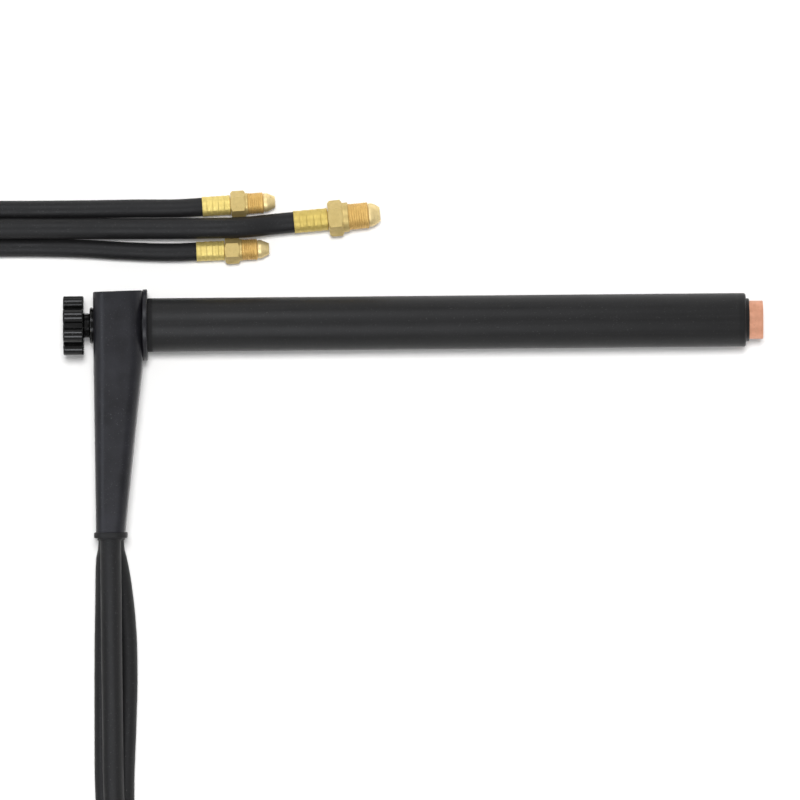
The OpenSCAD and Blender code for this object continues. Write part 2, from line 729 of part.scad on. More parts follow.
module knob() {
    lobe_at = knob_d / 2 - lobe_r;
    color(black) difference() {
        union() {
            translate([knob_back_x, 0, 0]) rotate([0, 90, 0]) linear_extrude(knob_t) {
                circle(lobe_at - 0.4);
                for (i = [0 : knob_lobes - 1])
                    rotate(360 * (i + 0.5) / knob_lobes) translate([lobe_at, 0]) circle(lobe_r);
            }
            rod_x(hub_d, knob_x - over, hub_x);
        }
        rod_x(screw_d + 2 * fit, knob_back_x + knob_cap, hub_x + over);
        hub_pin(cross_pin_d + 2 * fit, hub_d + over);
    }
}
module knob_pin() {
    color("silver") hub_pin(cross_pin_d, hub_d - over);
}

// Stems, clamps and the hoses inside the handle
module stem(at, bore) {
    barb = bore - 2 * fit;
    color(brass) difference() {
        union() {
            drop(at, stem_root, stem_root_y, -foot_drop - over);
            drop(at, bore + 2.8, -foot_drop, stem_y);
            drop(at, barb, stem_y + over, stem_y - stem_len);
        }
        drop(at, bore / 2, stem_root_y + over, stem_y - stem_len - over);
        for (i = [1 : 3]) difference() {
            drop(at, barb + over, stem_y - i * stem_len / 4, stem_y - i * stem_len / 4 - 1);
            drop(at, barb - 0.8, stem_y, stem_y - stem_len);
        }
    }
}
module gas_stem() {
    stem(gas_at, small_bore);
}
module power_stem() {
    stem(power_at, power_bore);
}
module water_stem() {
    stem(water_at, small_bore);
}
module stem_clamp(at, d) {
    top = stem_y - stem_len / 2 + clamp_w / 2;
    difference() {
        drop(at, d + 2 * fit + 2 * clamp_t, top, top - clamp_w);
        drop(at, d + 2 * fit, top + over, top - clamp_w - over);
    }
}
module stem_clamps() {
    color("silver") {
        stem_clamp(gas_at, small_d);
        stem_clamp(power_at, power_d);
        stem_clamp(water_at, small_d);
    }
}
module hose_inside(at, d, bore) {
    color(rubber) difference() {
        drop(at, d, stem_y - fit, exit_y);
        drop(at, bore, stem_y + over, exit_y - over);
    }
}
module gas_hose_inside() {
    hose_inside(gas_at, small_d, small_bore);
}
module power_hose_inside() {
    hose_inside(power_at, power_d, power_bore);
}
module water_hose_inside() {
    hose_inside(water_at, small_d, small_bore);
}

// Free hoses
lead_sides = 10;
coil_sides = 6;
down = [0, -1, 0];
module hose_lead(at, rows, coil, d) {
    color(rubber) tube(lead_path(at, rows, coil), d, lead_sides, down, unit(coil[1] - coil[0]));
}
module hose_coil(coil, d) {
    n = len(coil);
    color(rubber) tube(coil, d, coil_sides, unit(coil[1] - coil[0]), unit(coil[n - 1] - coil[n - 2]));
}
module hose_tail(coil, rows, last, end, turn, d, inside) {
    n = len(coil);
    color(rubber) tube(tail_path(coil, rows, last, end, turn, d, inside), d, lead_sides,
        unit(coil[n - 1] - coil[n - 2]), way(turn));
}
module gas_hose_lead() {
    hose_lead(gas_at, gas_points(lead_rows), gas_coil, small_d);
}
module power_hose_lead() {
    hose_lead(power_at, power_points(lead_rows), power_coil, power_d);
}
module water_hose_lead() {
    hose_lead(water_at, water_points(lead_rows), water_coil, small_d);
}
module gas_hose_coil() {
    hose_coil(gas_coil, small_d);
}
module power_hose_coil() {
    hose_coil(power_coil, power_d);
}
module water_hose_coil() {
    hose_coil(water_coil, small_d);
}
module gas_hose_tail() {
    hose_tail(gas_coil, gas_points(tail_rows), gas_last, seat(gas_end, small_af), gas_turn, small_d,
        small_ferrule - ferrule_front);
}
module power_hose_tail() {
    hose_tail(power_coil, power_points(tail_rows), power_last, seat(power_end, power_af), power_turn, power_d,
        power_ferrule - ferrule_front);
}
module water_hose_tail() {
    hose_tail(water_coil, water_points(tail_rows), water_last, seat(water_end, small_af), water_turn, small_d,
        small_ferrule - ferrule_front);
}
module coil_straps() {
    inner = coil_r - 3 / 4 * small_d;
    outer = coil_outer + coil_side;
    tall = coil_top + strap_t + gap;
    long = outer - inner + 2 * strap_t;
    color("#3a3a3c") for (turn = strap_turns)
        translate([coil_at[0], coil_at[1], table_z]) rotate([0, 0, turn])
            translate([(inner + outer) / 2, strap_w / 2, tall / 2]) rotate([90, 0, 0])
                linear_extrude(strap_w) difference() {
                    rounded(long, tall, strap_r);
                    rounded(long - 2 * strap_t, tall - 2 * strap_t, strap_r - strap_t);
                }
}

// Hose ends: a crimped ferrule, a nipple and a captive nut, made along +X from the ferrule's edge
module at_end(end, af, turn) {
    translate(seat(end, af)) rotate([0, 0, turn]) children();
}
module ferrule(d, length, neck) {
    color(crimp) difference() {
        rod_x(d + 4 * fit + 2 * ferrule_wall, 0, length);
        rod_x(d + 4 * fit, -over, length - ferrule_front);
        rod_x(neck + 2 * fit, 0, length + over);
    }
}
function nut_len(shoulder, thread_len) = hex_len + shoulder + thread_len;
module nipple(length, neck, shoulder, thread_d, thread_len) {
    root = length - ferrule_front;
    head = length + nut_len(shoulder, thread_len) + 2 * gap;
    head_r = thread_d / 2 - tip_step;
    tip = head + tip_len;
    color(brass) difference() {
        rotate([0, 90, 0]) rotate_extrude() polygon([
            [0, root], [neck / 2, root], [neck / 2, head], [head_r, head],
            [head_r, head + tip_len / 3], [0.6 * head_r, tip], [0, tip]
        ]);
        rod_x(nipple_bore, root - over, tip + over);
    }
}
module nut(length, neck, af, shoulder, thread_d, thread_len) {
    start = length + gap;
    hex_d = af / cos(30);
    wide = 2 * hex_d;
    bevel = (hex_d - af) / 2;
    color(brass) difference() {
        union() {
            intersection() {
                translate([start, 0, 0]) rotate([0, 90, 0]) rotate(90)
                    cylinder(d = hex_d, h = hex_len, $fn = 6);
                cone_x(af, af + 2 * wide, start, start + wide * 0.6);
            }
            rod_x(af - 2 * shoulder_step, start + bevel, start + hex_len + shoulder);
            rod_x(thread_d, start + bevel, start + nut_len(shoulder, thread_len));
        }
        rod_x(neck + 2 * run, start - over, start + nut_len(shoulder, thread_len) + over);
    }
}
module gas_ferrule() {
    at_end(gas_end, small_af, gas_turn) ferrule(small_d, small_ferrule, small_neck);
}
module power_ferrule_sleeve() {
    at_end(power_end, power_af, power_turn) ferrule(power_d, power_ferrule, power_neck);
}
module water_ferrule() {
    at_end(water_end, small_af, water_turn) ferrule(small_d, small_ferrule, small_neck);
}
module gas_nipple() {
    at_end(gas_end, small_af, gas_turn)
        nipple(small_ferrule, small_neck, small_shoulder, small_thread, small_thread_len);
}
module power_nipple() {
    at_end(power_end, power_af, power_turn)
        nipple(power_ferrule, power_neck, power_shoulder, power_thread, power_thread_len);
}
module water_nipple() {
    at_end(water_end, small_af, water_turn)
        nipple(small_ferrule, small_neck, small_shoulder, small_thread, small_thread_len);
}
module gas_nut() {
    at_end(gas_end, small_af, gas_turn)
        nut(small_ferrule, small_neck, small_af, small_shoulder, small_thread, small_thread_len);
}
module power_nut() {
    at_end(power_end, power_af, power_turn)
        nut(power_ferrule, power_neck, power_af, power_shoulder, power_thread, power_thread_len);
}
module water_nut() {
    at_end(water_end, small_af, water_turn)
        nut(small_ferrule, small_neck, small_af, small_shoulder, small_thread, small_thread_len);
}

barrel_sleeve();
front_collar();
handle_upper();
handle_lower();
end_ring();
hose_grommet();
rear_block();
rear_gland();
stem_seal();
jacket_tube();
core_tube();
water_pipe();
centre_spacer();
front_insulator();
nose_seal();
nose_body();
collet();
push_tube();
retaining_pins();
draw_screw();
knob();
knob_pin();
gas_stem();
power_stem();
water_stem();
stem_clamps();
gas_hose_inside();
power_hose_inside();
water_hose_inside();
gas_hose_lead();
power_hose_lead();
water_hose_lead();
gas_hose_coil();
power_hose_coil();
water_hose_coil();
gas_hose_tail();
power_hose_tail();
water_hose_tail();
coil_straps();
gas_ferrule();
power_ferrule_sleeve();
water_ferrule();
gas_nipple();
power_nipple();
water_nipple();
gas_nut();
power_nut();
water_nut();
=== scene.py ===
"""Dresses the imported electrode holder: barrel, nose, handle, knob, hoses, hose ends, straps and stage."""
import json
import math
import bmesh
import bpy
import numpy as np
from mathutils import Euler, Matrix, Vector


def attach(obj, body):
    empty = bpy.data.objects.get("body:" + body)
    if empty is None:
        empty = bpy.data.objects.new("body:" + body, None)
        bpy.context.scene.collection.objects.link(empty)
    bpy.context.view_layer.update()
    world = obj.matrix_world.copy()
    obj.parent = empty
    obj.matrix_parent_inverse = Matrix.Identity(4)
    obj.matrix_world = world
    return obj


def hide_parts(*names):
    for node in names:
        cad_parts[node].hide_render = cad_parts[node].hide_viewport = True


bl_info = {
    "name": "Electrode Holder Dresser",
    "version": (1, 0, 0),
    "blender": (4, 5, 0),
    "location": "View3D > Sidebar > Holder",
    "description": "Builds the visible pieces of a water-cooled electrode holder round its solid model",
    "category": "Object",
}

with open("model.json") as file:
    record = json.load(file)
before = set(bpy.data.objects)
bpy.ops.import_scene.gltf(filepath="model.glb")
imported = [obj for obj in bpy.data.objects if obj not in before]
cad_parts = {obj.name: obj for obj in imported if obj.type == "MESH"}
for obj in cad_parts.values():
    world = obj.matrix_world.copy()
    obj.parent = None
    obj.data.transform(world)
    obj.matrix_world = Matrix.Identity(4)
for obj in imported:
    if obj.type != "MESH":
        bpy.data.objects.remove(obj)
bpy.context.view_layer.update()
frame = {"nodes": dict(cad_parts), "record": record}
NODES = frame["nodes"]
FINISH = {}
MM = 0.001
TAU = 2 * math.pi
QUARTER = np.linspace(0, math.pi / 2, 7)
ORIGIN = (0.0, 0.0, 0.0)
TORCH = "torch"

# Sizes that follow the solid model, in millimetres. TABLE is the height of the surface that the part lies on,
# and FIT the room between two pieces that meet.
TABLE = -21.65
FIT = 0.05
COLLAR_R, COLLAR_T = 21.65, 2.8
BARREL_R, BARREL_LEN, BARREL_BORE_R, SPIGOT_R, SPIGOT_LEN = 16.25, 362.0, 13.05, 15.35, 12.0
NOSE_R, NOSE_TIP, NOSE_SHOULDER, NOSE_BACK = 11.625, 372.4, 356.0, 340.0
SOCKET_R, SOCKET_FLOOR, SOCKET_PITCH = 6.5, 365.0, 1.25
THROAT_R, THROAT_LEN, CONE_R, CONE_LEN, RECESS_R, RECESS_LEN = 3.68, 0.9, 4.88, 6.0, 6.55, 7.0
INSULATOR_BACK, INSULATOR_TIP, JACKET_R, JACKET_BORE_R = 350.0, 364.0, 11.975, 10.675
REAR_X, FRONT_X, NECK_X, NECK_W = -32.5, -2.8, -23.25, 17.3
HEAD_TOP, HEAD_DROP, TAPER_END, HANDLE_END = 20.5, 22.0, 124.5, 128.2
HEAD_DEPTH, HEAD_WALL, NECK_WALL, HEAD_CORNER, NECK_CORNER = 41.6, 1.2, 0.8, 8.0, 6.0
TAPER_BULGE, TOP_LIFT, INNER_EDGE, SEAM_CHAMFER = 0.035, 0.175, 0.5, 0.3
RING_T, RING_LEN, RING_DROP = 1.25, 3.4, 0.3
GROMMET_IN, GROMMET_OUT, GROMMET_EDGE = 8.0, 1.3, 0.9
KNOB_LOBES, LOBE_AT, LOBE_R, KNOB_ROOT_R = 8, 14.6, 4.4, 13.6
KNOB_BACK, KNOB_FRONT, HUB_FRONT, HUB_R, SCREW_R = -50.8, -38.5, -34.95, 7.5, 4.05
GLAND_BACK, GLAND_STEP, GLAND_SEAT = -34.8, -33.4, -34.0
GLAND_R, GLAND_NECK_R, GLAND_SEAT_R, GLAND_BORE_R = 11.0, 10.6, 7.05, 4.3
SMALL_R, POWER_R, HOSE_SPACE, HOSE_STEP = 5.55, 6.35, 1.35, 2.1
STEP_PW = math.sqrt((POWER_R + SMALL_R + HOSE_SPACE) ** 2 - HOSE_STEP ** 2)
STEP_WG = math.sqrt((2 * SMALL_R + HOSE_SPACE) ** 2 - (2 * HOSE_STEP) ** 2)
STACK = POWER_R + STEP_PW + STEP_WG + SMALL_R
NECK_DEPTH = STACK + 2 * (0.2 + NECK_WALL)
POWER_Z = STACK / 2 - POWER_R
WATER_Z = POWER_Z - STEP_PW
GAS_Z = WATER_Z - STEP_WG
EXIT_Y, STEM_Y, ROUTE_START, INSIDE_END = -HANDLE_END - 2.8, -21.3, 4.4, 4.6
NUT_LEN, NUT_GAP, NOSE_LEN, NIPPLE_BORE = 8.8, 0.3, 7.0, 2.3
FERRULE_LAP, FERRULE_T, FERRULE_EASE = 1.5, 0.4, 0.1

# Each hose: radius, bore inside the handle, nut's width across flats, lengths and radii of its end, its place
# at the exit, its ferrule's place on the surface and the way that the end points, in degrees
END_SIZES = ("r", "bore", "flats", "ferrule", "neck", "shoulder", "thread_r", "thread")
SMALL_END = dict(zip(END_SIZES, (SMALL_R, 3.2, 14.29, 17.0, 4.0, 1.6, 6.35, 9.2)))
POWER_END = dict(zip(END_SIZES, (POWER_R, 3.8, 19.05, 20.6, 4.8, 3.4, 7.9375, 12.1)))
HOSES = {
    "gas": dict(SMALL_END, at=(NECK_X + HOSE_STEP, GAS_Z), end=(33.75, 71.5), turn=3.4),
    "power": dict(POWER_END, at=(NECK_X, POWER_Z), end=(89.2, 61.6), turn=5.0),
    "water": dict(SMALL_END, at=(NECK_X - HOSE_STEP, WATER_Z), end=(29.9, 44.4), turn=1.7),
}
HOSE_SPACING = 5.0

# The route of the three hoses, as in the solid model: x, y, gas hose to the left, water hose to the right,
# and heights of gas, power and water over the surface
LEAD_ROWS = np.array([
    [-23.2, -141, 3.6, 3.6, 8.7, 33.5, 20.4], [-23.2, -148, 5, 3.95, 8.4, 33.1, 19.9],
    [-23.2, -166, 7.5, 4.4, 7.7, 31, 16.9], [-23.3, -186, 9.2, 4.9, 6.8, 27.4, 12.8],
    [-23.3, -210, 9.6, 5.4, 6, 22.6, 9], [-23.2, -240, 8.6, 5.8, 5.8, 18.8, 6.4],
    [-23.2, -270, 7.2, 6, 5.8, 17.4, 5.8],
    [-23.2, -300, 6, 6, 5.8, 17.2, 5.8], [-29, -330, 6, 6, 5.8, 17.2, 5.8],
    [-46, -356, 6, 6, 5.8, 17.2, 5.8], [-72, -373, 6, 6, 6, 17.4, 6],
    [-103, -379, 6, 6, 6.3, 17.6, 6.3], [-140, -380.5, 5.9, 5.9, 6.7, 17.9, 6.7],
    [-178, -380.5, 5.8, 5.8, 7, 18, 7],
])
TAIL_ROWS = np.array([
    [-340, -230, 5.8, 5.8, 30.6, 41.6, 30.6], [-340.5, -204, 5.9, 5.9, 29.6, 40.8, 29.6],
    [-340.5, -176, 6, 6, 25.6, 37, 25.6], [-340.5, -148, 6, 6, 19.6, 31, 19.6],
    [-340.5, -118, 6, 6, 13.4, 24.8, 13.4], [-340.5, -88, 6, 6, 8.6, 20, 8.6],
    [-340.5, -58, 6, 6, 6.2, 17.8, 6.2], [-340.5, -26, 6.2, 6.2, 5.8, 17.2, 5.8],
    [-335, 6, 6.6, 6.6, 5.8, 17, 5.8], [-317, 35, 7.6, 7.6, 5.8, 16, 5.8],
    [-289, 53, 9, 9, 5.8, 14.8, 5.8], [-259, 59, 10.4, 10.4, 5.8, 13, 5.8],
    [-230, 59.4, 11.6, 11.6, 5.8, 10.4, 5.8], [-200, 59.3, 12.1, 12, 5.8, 9, 5.8],
    [-168, 59.4, 11.8, 11.6, 5.8, 10.4, 5.8], [-134, 59.4, 11.6, 11.4, 5.8, 10.9, 5.8],
    [-100, 59.2, 11.6, 11.4, 5.8, 10.9, 5.8], [-67, 59, 11.6, 11.4, 5.8, 10.9, 5.8],
])
LAST_POINTS = {
    "gas": [[-36, 70.6, 5.9], [-8, 70.8, 6.4]],
    "power": [[-38, 58.8, 10.9], [-12, 58.6, 11], [16, 58.4, 12.2], [40, 58.4, 14], [60, 58.9, 13.6]],
    "water": [[-40, 46.8, 5.9], [-12, 45, 6.4]],
}
COIL_AT, COIL_R, COIL_TURNS, COIL_LIFT, COIL_GAP = (-226.0, -267.0), 52.0, 5.25, 1.6, 0.5
COIL_DIP, COIL_CLIMB = 14.0, 90
COIL_SIDE = (2 * SMALL_R + COIL_GAP) / 2
COIL_STEP = 4 * COIL_SIDE
COIL_RISE = math.sqrt((POWER_R + SMALL_R + COIL_GAP) ** 2 - COIL_SIDE ** 2)
COIL_LAYER = SMALL_R + COIL_RISE + POWER_R + COIL_GAP
COIL_OUTER = COIL_R + COIL_STEP * COIL_TURNS / 2
STRAP_TURNS, STRAP_W, STRAP_T, STRAP_EASE = (145, 315), 16.0, 1.2, 0.3

# The stage, in metres. Strips are only mirrored: name, setting, place, what it faces, size and colour
CAMERA_AT, CAMERA_REACH, SENSOR = (0.1524, -0.04665), 20.0, 36.0
FLOOR_REACH, FLOOR_DROP, FLOOR_GREY, FLOOR_GLOW = 6.0, 0.05, 0.86, 0.1
KEY_AT, KEY_COLOUR = (0.14, 0.5, 2.5), (1.0, 0.995, 0.985)
SKY_LOW, SKY_HIGH = 0.15, 0.45
STRIPS = (
    ("Upper Strip", "strip", (-0.15, 0.80, 1.05), (-0.15, 0, 0), (0.75, 0.42), (0.94, 0.96, 1.0)),
    ("Lower Strip", "strip", (-0.15, -0.56, 1.05), (-0.15, 0, 0), (0.75, 0.42), (0.94, 0.96, 1.0)),
    ("Side Strip", "side", (-0.88, -0.06, 1.0), (-0.02, -0.06, 0), (0.9, 0.46), (0.86, 0.91, 1.0)),
)

# Metal finishes: name, colour setting, tarnish, roughness, cutting rings per mm and share of tarnish
METALS = {
    "brass": ("Turned Brass", "brass", (0.5, 0.37, 0.13), 0.4, 4.0, 0.5),
    "nose_brass": ("Faced Brass", "nipple", (0.62, 0.46, 0.2), 0.4, 4.0, 0.5),
    "ferrule_brass": ("Drawn Brass", "ferrule", (0.6, 0.46, 0.12), 0.44, 2.0, 0.3),
    # The power hose's ferrule uses the ferrules' drawn brass made darker, with a darker tarnish.
    "power_ferrule_brass": ("Aged Brass", "power_ferrule", (0.42, 0.3, 0.07), 0.44, 2.0, 0.3),
    "thread_brass": ("Cut Brass", "thread", (0.55, 0.34, 0.1), 0.45, 3.0, 0.5),
    "copper": ("Turned Copper", "copper", (0.6, 0.28, 0.17), 0.4, 4.0, 0.5),
    "steel": ("Drawn Steel", "steel", (0.3, 0.29, 0.28), 0.3, 4.0, 0.5),
}
METAL_SHARE = 0.65
# Spans along the barrel, in metres: over the first it darkens towards its front end, and over the second
# painted shade darkens it next to the collar.
FRONT_DARK_SPAN, COLLAR_SHADE_SPAN = (0.3574, 0.3582), (0.0036, 0.0026)


# Surfaces

class Skin:
    """Gathers surface patches P[u, v] of one piece, with the UV numbers of every corner."""

    def __init__(self):
        self.points, self.faces, self.uv, self.count = [], [], [], 0

    def grid(self, points, wrap_u=False, wrap_v=False):
        """Adds a grid of points as quads. UV: length along u in mm, share of the way round v."""
        nu, nv = points.shape[:2]
        i, j = np.meshgrid(np.arange(nu - (not wrap_u)), np.arange(nv - (not wrap_v)), indexing="ij")
        i2, j2 = (i + 1) % nu, (j + 1) % nv
        quads = np.stack([i * nv + j, i2 * nv + j, i2 * nv + j2, i * nv + j2], -1).reshape(-1, 4)
        mean = points.mean(axis=1)
        step = np.linalg.norm(np.diff(points, axis=0).mean(axis=1), axis=-1)
        lone = np.linalg.norm(np.diff(points, axis=0), axis=-1).max(axis=1)
        along = np.concatenate([[0.0], np.cumsum(np.maximum(step, lone * 0.5))])
        along = np.append(along, along[-1] + np.linalg.norm(mean[0] - mean[-1]))
        around = np.arange(nv + 1) / (nv if wrap_v else nv - 1)
        corner_u = np.stack([along[i], along[i + 1], along[i + 1], along[i]], -1)
        corner_v = np.stack([around[j], around[j], around[j + 1], around[j + 1]], -1)
        self.uv.append(np.stack([corner_u, corner_v], -1).reshape(-1, 2))
        self.points.append(points.reshape(-1, 3))
        self.faces += (quads + self.count).tolist()
        self.count += nu * nv
        return self

    def cap(self, ring):
        """Closes a flat ring of points with one face."""
        n = len(ring)
        self.points.append(ring)
        self.faces.append((np.arange(n) + self.count).tolist())
        self.uv.append(np.zeros((n, 2)))
        self.count += n
        return self

    def piece(self, name, finish, nodes, slot=None, body=TORCH, sharp=38):
        """Welds the patches, turns them outwards and makes the object, which rides on a body."""
        mesh = bpy.data.meshes.new(name)
        mesh.from_pydata((np.concatenate(self.points) * MM).tolist(), [], self.faces)
        layer = mesh.uv_layers.new(name="UVMap")
        layer.data.foreach_set("uv", np.concatenate(self.uv).astype(np.float32).ravel())
        work = bmesh.new()
        work.from_mesh(mesh)
        bmesh.ops.remove_doubles(work, verts=work.verts, dist=2e-6)
        bmesh.ops.dissolve_degenerate(work, edges=work.edges, dist=1e-7)
        bmesh.ops.recalc_face_normals(work, faces=work.faces)
        work.to_mesh(mesh)
        work.free()
        mesh.polygons.foreach_set("use_smooth", np.ones(len(mesh.polygons), bool))
        mesh.set_sharp_from_angle(angle=math.radians(sharp))
        mesh.materials.append(FINISH[finish])
        obj = bpy.data.objects.new(name, mesh)
        bpy.context.scene.collection.objects.link(obj)
        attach(obj, body)
        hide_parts(*nodes)
        return obj


def closed_piece(points, name, finish, node, **more):
    """A piece of one surface that closes on itself both ways."""
    return Skin().grid(points, True, True).piece(name, finish, [node], **more)


def unit(v):
    """Vectors divided by their lengths."""
    return v / np.linalg.norm(v, axis=-1, keepdims=True)


def rounded_loop(points, radii, steps=6):
    """A closed polygon with each corner p turned into an arc: the arc's centre lies on the corner's bisector,
    r / sin(half angle) from p, and the arc runs between the two tangent points."""
    p = np.asarray(points, float)
    r = np.asarray(radii, float)[:, None]
    a, b = unit(np.roll(p, 1, 0) - p), unit(np.roll(p, -1, 0) - p)
    half = np.arccos(np.clip((a * b).sum(1, keepdims=True), -1, 1)) / 2
    start, end = p + a * r / np.tan(half), p + b * r / np.tan(half)
    centre = p + unit(a + b) * r / np.sin(half)
    span = (math.pi - 2 * half)[:, None]
    t = np.linspace(0, 1, steps)[None, :, None]
    w0, w1 = np.sin((1 - t) * span) / np.sin(span), np.sin(t * span) / np.sin(span)
    arc = centre[:, None] + w0 * (start - centre)[:, None] + w1 * (end - centre)[:, None]
    return arc.reshape(-1, p.shape[1])


def finely(loop, longest, parts):
    """A closed loop with each side longer than a limit cut into equal parts."""
    n = len(loop)
    sides = np.flatnonzero(np.linalg.norm(np.roll(loop, -1, 0) - loop, axis=1) > longest)
    cuts = (sides[:, None] + np.arange(1, parts) / parts).ravel()
    stops = np.sort(np.concatenate([np.arange(n), cuts]))
    return np.stack([np.interp(stops, np.arange(n + 1), np.append(c, c[0])) for c in loop.T], -1)


def turned(x, r, segments=96):
    """Surface of revolution about X: P(u, a) = (x(u), r(u, a) cos a, r(u, a) sin a)."""
    a = np.arange(segments) * TAU / segments
    r = np.broadcast_to(np.asarray(r, float).reshape(len(x), -1), (len(x), segments))
    x = np.broadcast_to(np.asarray(x, float)[:, None], r.shape)
    return np.stack([x, r * np.cos(a), r * np.sin(a)], -1)


def turned_rows(rows, segments):
    """Revolves rows (x, r): a row is one ring or an array of rings, and r may differ from angle to angle."""
    x = np.concatenate([np.atleast_1d(x) for x, _ in rows])
    r = [np.broadcast_to(np.reshape(r, (np.size(x), -1)), (np.size(x), segments)) for x, r in rows]
    return turned(x, np.concatenate(r), segments)


def turned_loop(corners, radii, segments=96, steps=6):
    """Revolves a closed profile of (x, r) corners with rounded edges."""
    loop = rounded_loop(corners, radii, steps)
    return turned(loop[:, 0], loop[:, 1], segments)


def down_handle(loop, at):
    """Turns a surface made about X to run along Y, round a place (x, z) in the handle."""
    return np.stack([at[0] + loop[..., 1], loop[..., 0], at[1] + loop[..., 2]], -1)


def at_neck(sections, y):
    """Sections (x, z) round the handle's end, each set at its height y."""
    y = np.broadcast_to(y[:, None], sections.shape[:2])
    return np.stack([NECK_X + sections[..., 0], y, sections[..., 1]], -1)


def outline(w, depth, r, steps=12):
    """Rounded rectangle in X and Z, counter-clockwise from +X: P = corner's centre + r n(a), and its outward
    normals n(a). Sizes may be arrays, one rectangle each."""
    w, depth, r = (np.asarray(v, float)[..., None] for v in (w, depth, r))
    k = np.repeat(np.arange(4), steps + 1)
    turn = np.radians(90 * (k + np.tile(np.linspace(0, 1, steps + 1), 4)))
    cx = np.array([1, -1, -1, 1])[k] * (w / 2 - r)
    cz = np.array([1, 1, -1, -1])[k] * (depth / 2 - r)
    normal = np.stack([np.cos(turn), np.sin(turn)], -1)
    return np.stack([cx, cz], -1) + r[..., None] * normal, normal


def along_spline(points, spacing):
    """Smooth curve through points: Hermite spans with each tangent taken from the neighbours by chord length,
    sampled at even steps of arc length."""
    p = np.asarray(points, float)
    chord = np.linalg.norm(np.diff(p, axis=0), axis=1)
    t = np.concatenate([[0], np.cumsum(chord)])
    slope = np.diff(p, axis=0) / chord[:, None]
    inner = (slope[:-1] * chord[1:, None] + slope[1:] * chord[:-1, None]) / (chord[1:] + chord[:-1])[:, None]
    m = np.concatenate([slope[:1], inner, slope[-1:]])
    fine = np.linspace(0, t[-1], int(t[-1]))
    k = np.clip(np.searchsorted(t, fine, side="right") - 1, 0, len(chord) - 1)
    h = chord[k][:, None]
    s = (fine - t[k])[:, None] / h
    curve = ((1 + 2 * s) * (1 - s) ** 2 * p[k] + s * (1 - s) ** 2 * h * m[k]
             + s * s * (3 - 2 * s) * p[k + 1] + s * s * (s - 1) * h * m[k + 1])
    arc = np.concatenate([[0], np.cumsum(np.linalg.norm(np.diff(curve, axis=0), axis=1))])
    steps = np.linspace(0, arc[-1], max(8, int(arc[-1] / spacing)))
    return np.stack([np.interp(steps, arc, curve[:, c]) for c in range(3)], -1)


def carried(path, profile):
    """Carries a flat profile (side, up) along a path of tangent t: side = Z x t, up = t x side."""
    t = unit(np.gradient(path, axis=0))
    side = unit(np.cross([0.0, 0.0, 1.0], t))
    up = np.cross(t, side)
    return path[:, None] + profile[None, :, :1] * side[:, None] + profile[None, :, 1:] * up[:, None]


def circle(r, n):
    """A flat ring of n points: P(a) = r (cos a, sin a)."""
    a = np.arange(n) * TAU / n
    return np.stack([r * np.cos(a), r * np.sin(a)], -1)


def drawn_round(middles, radii, steps):
    """The line drawn tight round discs: P(a) = m + r n(a) of the disc that reaches furthest along n(a),
    and n(a)."""
    n = circle(1.0, steps)
    first = (middles @ n.T + radii[:, None]).argmax(0)
    return middles[first] + radii[first, None] * n, n


def way_of(hose):
    """Cosine and sine of the way that a hose's end points."""
    return math.cos(math.radians(hose["turn"])), math.sin(math.radians(hose["turn"]))


def at_end(points, hose):
    """Moves a piece made along +X to a hose's end on the surface."""
    c, s = way_of(hose)
    turn = np.array([[c, s, 0], [-s, c, 0], [0, 0, 1]])
    return points @ turn + np.array([*hose["end"], TABLE + hose["flats"] / 2])


def thread_rows(x0, x1, r, pitch, depth, segments, fade=0.8):
    """A screw thread: r(x, a) = r - depth * triangle(x / pitch - a / 2 pi), fading out at both ends."""
    x = np.linspace(x0, x1, int(abs(x1 - x0) / pitch * 10))
    a = np.arange(segments) / segments
    phase = (x[:, None] / pitch - a[None, :]) % 1.0
    tooth = np.clip(np.abs(phase - 0.5) * 2.6 - 0.15, 0, 1)
    edge = np.minimum(np.abs(x - x0), np.abs(x1 - x)) / (fade * pitch)
    return x, r - depth * tooth * np.clip(edge, 0, 1)[:, None]


# Hose route

def wound(side, rise):
    """The coil: r = coil_r + step * |phi| / 360 outside the climb; inside it a parabola that meets this at
    both ends, less a dip, and the height climbs one layer by 3u^2 - 2u^3."""
    a = np.arange(0, 360 * COIL_TURNS + 0.01, 10.0)
    phi = a - 180 * COIL_TURNS
    bowl = phi ** 2 / (720 * COIL_CLIMB) + COIL_CLIMB / 720
    dip = COIL_DIP * np.cos(np.radians(phi)) ** 2
    r = np.where(np.abs(phi) < COIL_CLIMB, COIL_R + COIL_STEP * bowl - dip,
                 COIL_R + COIL_STEP * np.abs(phi) / 360) + side
    u = np.clip((phi + COIL_CLIMB) / (2 * COIL_CLIMB), 0, 1)
    turn = np.radians(-90 - a)
    return np.stack([COIL_AT[0] + r * np.cos(turn), COIL_AT[1] + r * np.sin(turn),
                     TABLE + COIL_LIFT + SMALL_R + u * u * (3 - 2 * u) * COIL_LAYER + rise], -1)


def row_points(rows, k):
    """Places of one hose along the rows of the bundle's route: 0 is gas, 1 power and 2 water."""
    way = unit(np.concatenate([rows[1:2, :2] - rows[:1, :2], rows[2:, :2] - rows[:-2, :2],
                               rows[-1:, :2] - rows[-2:-1, :2]]))
    left = np.stack([-way[:, 1], way[:, 0]], -1)
    offset = (rows[:, 2], 0 * rows[:, 0], -rows[:, 3])[k]
    return np.concatenate([rows[:, :2] + offset[:, None] * left, TABLE + rows[:, 4 + k, None]], 1)


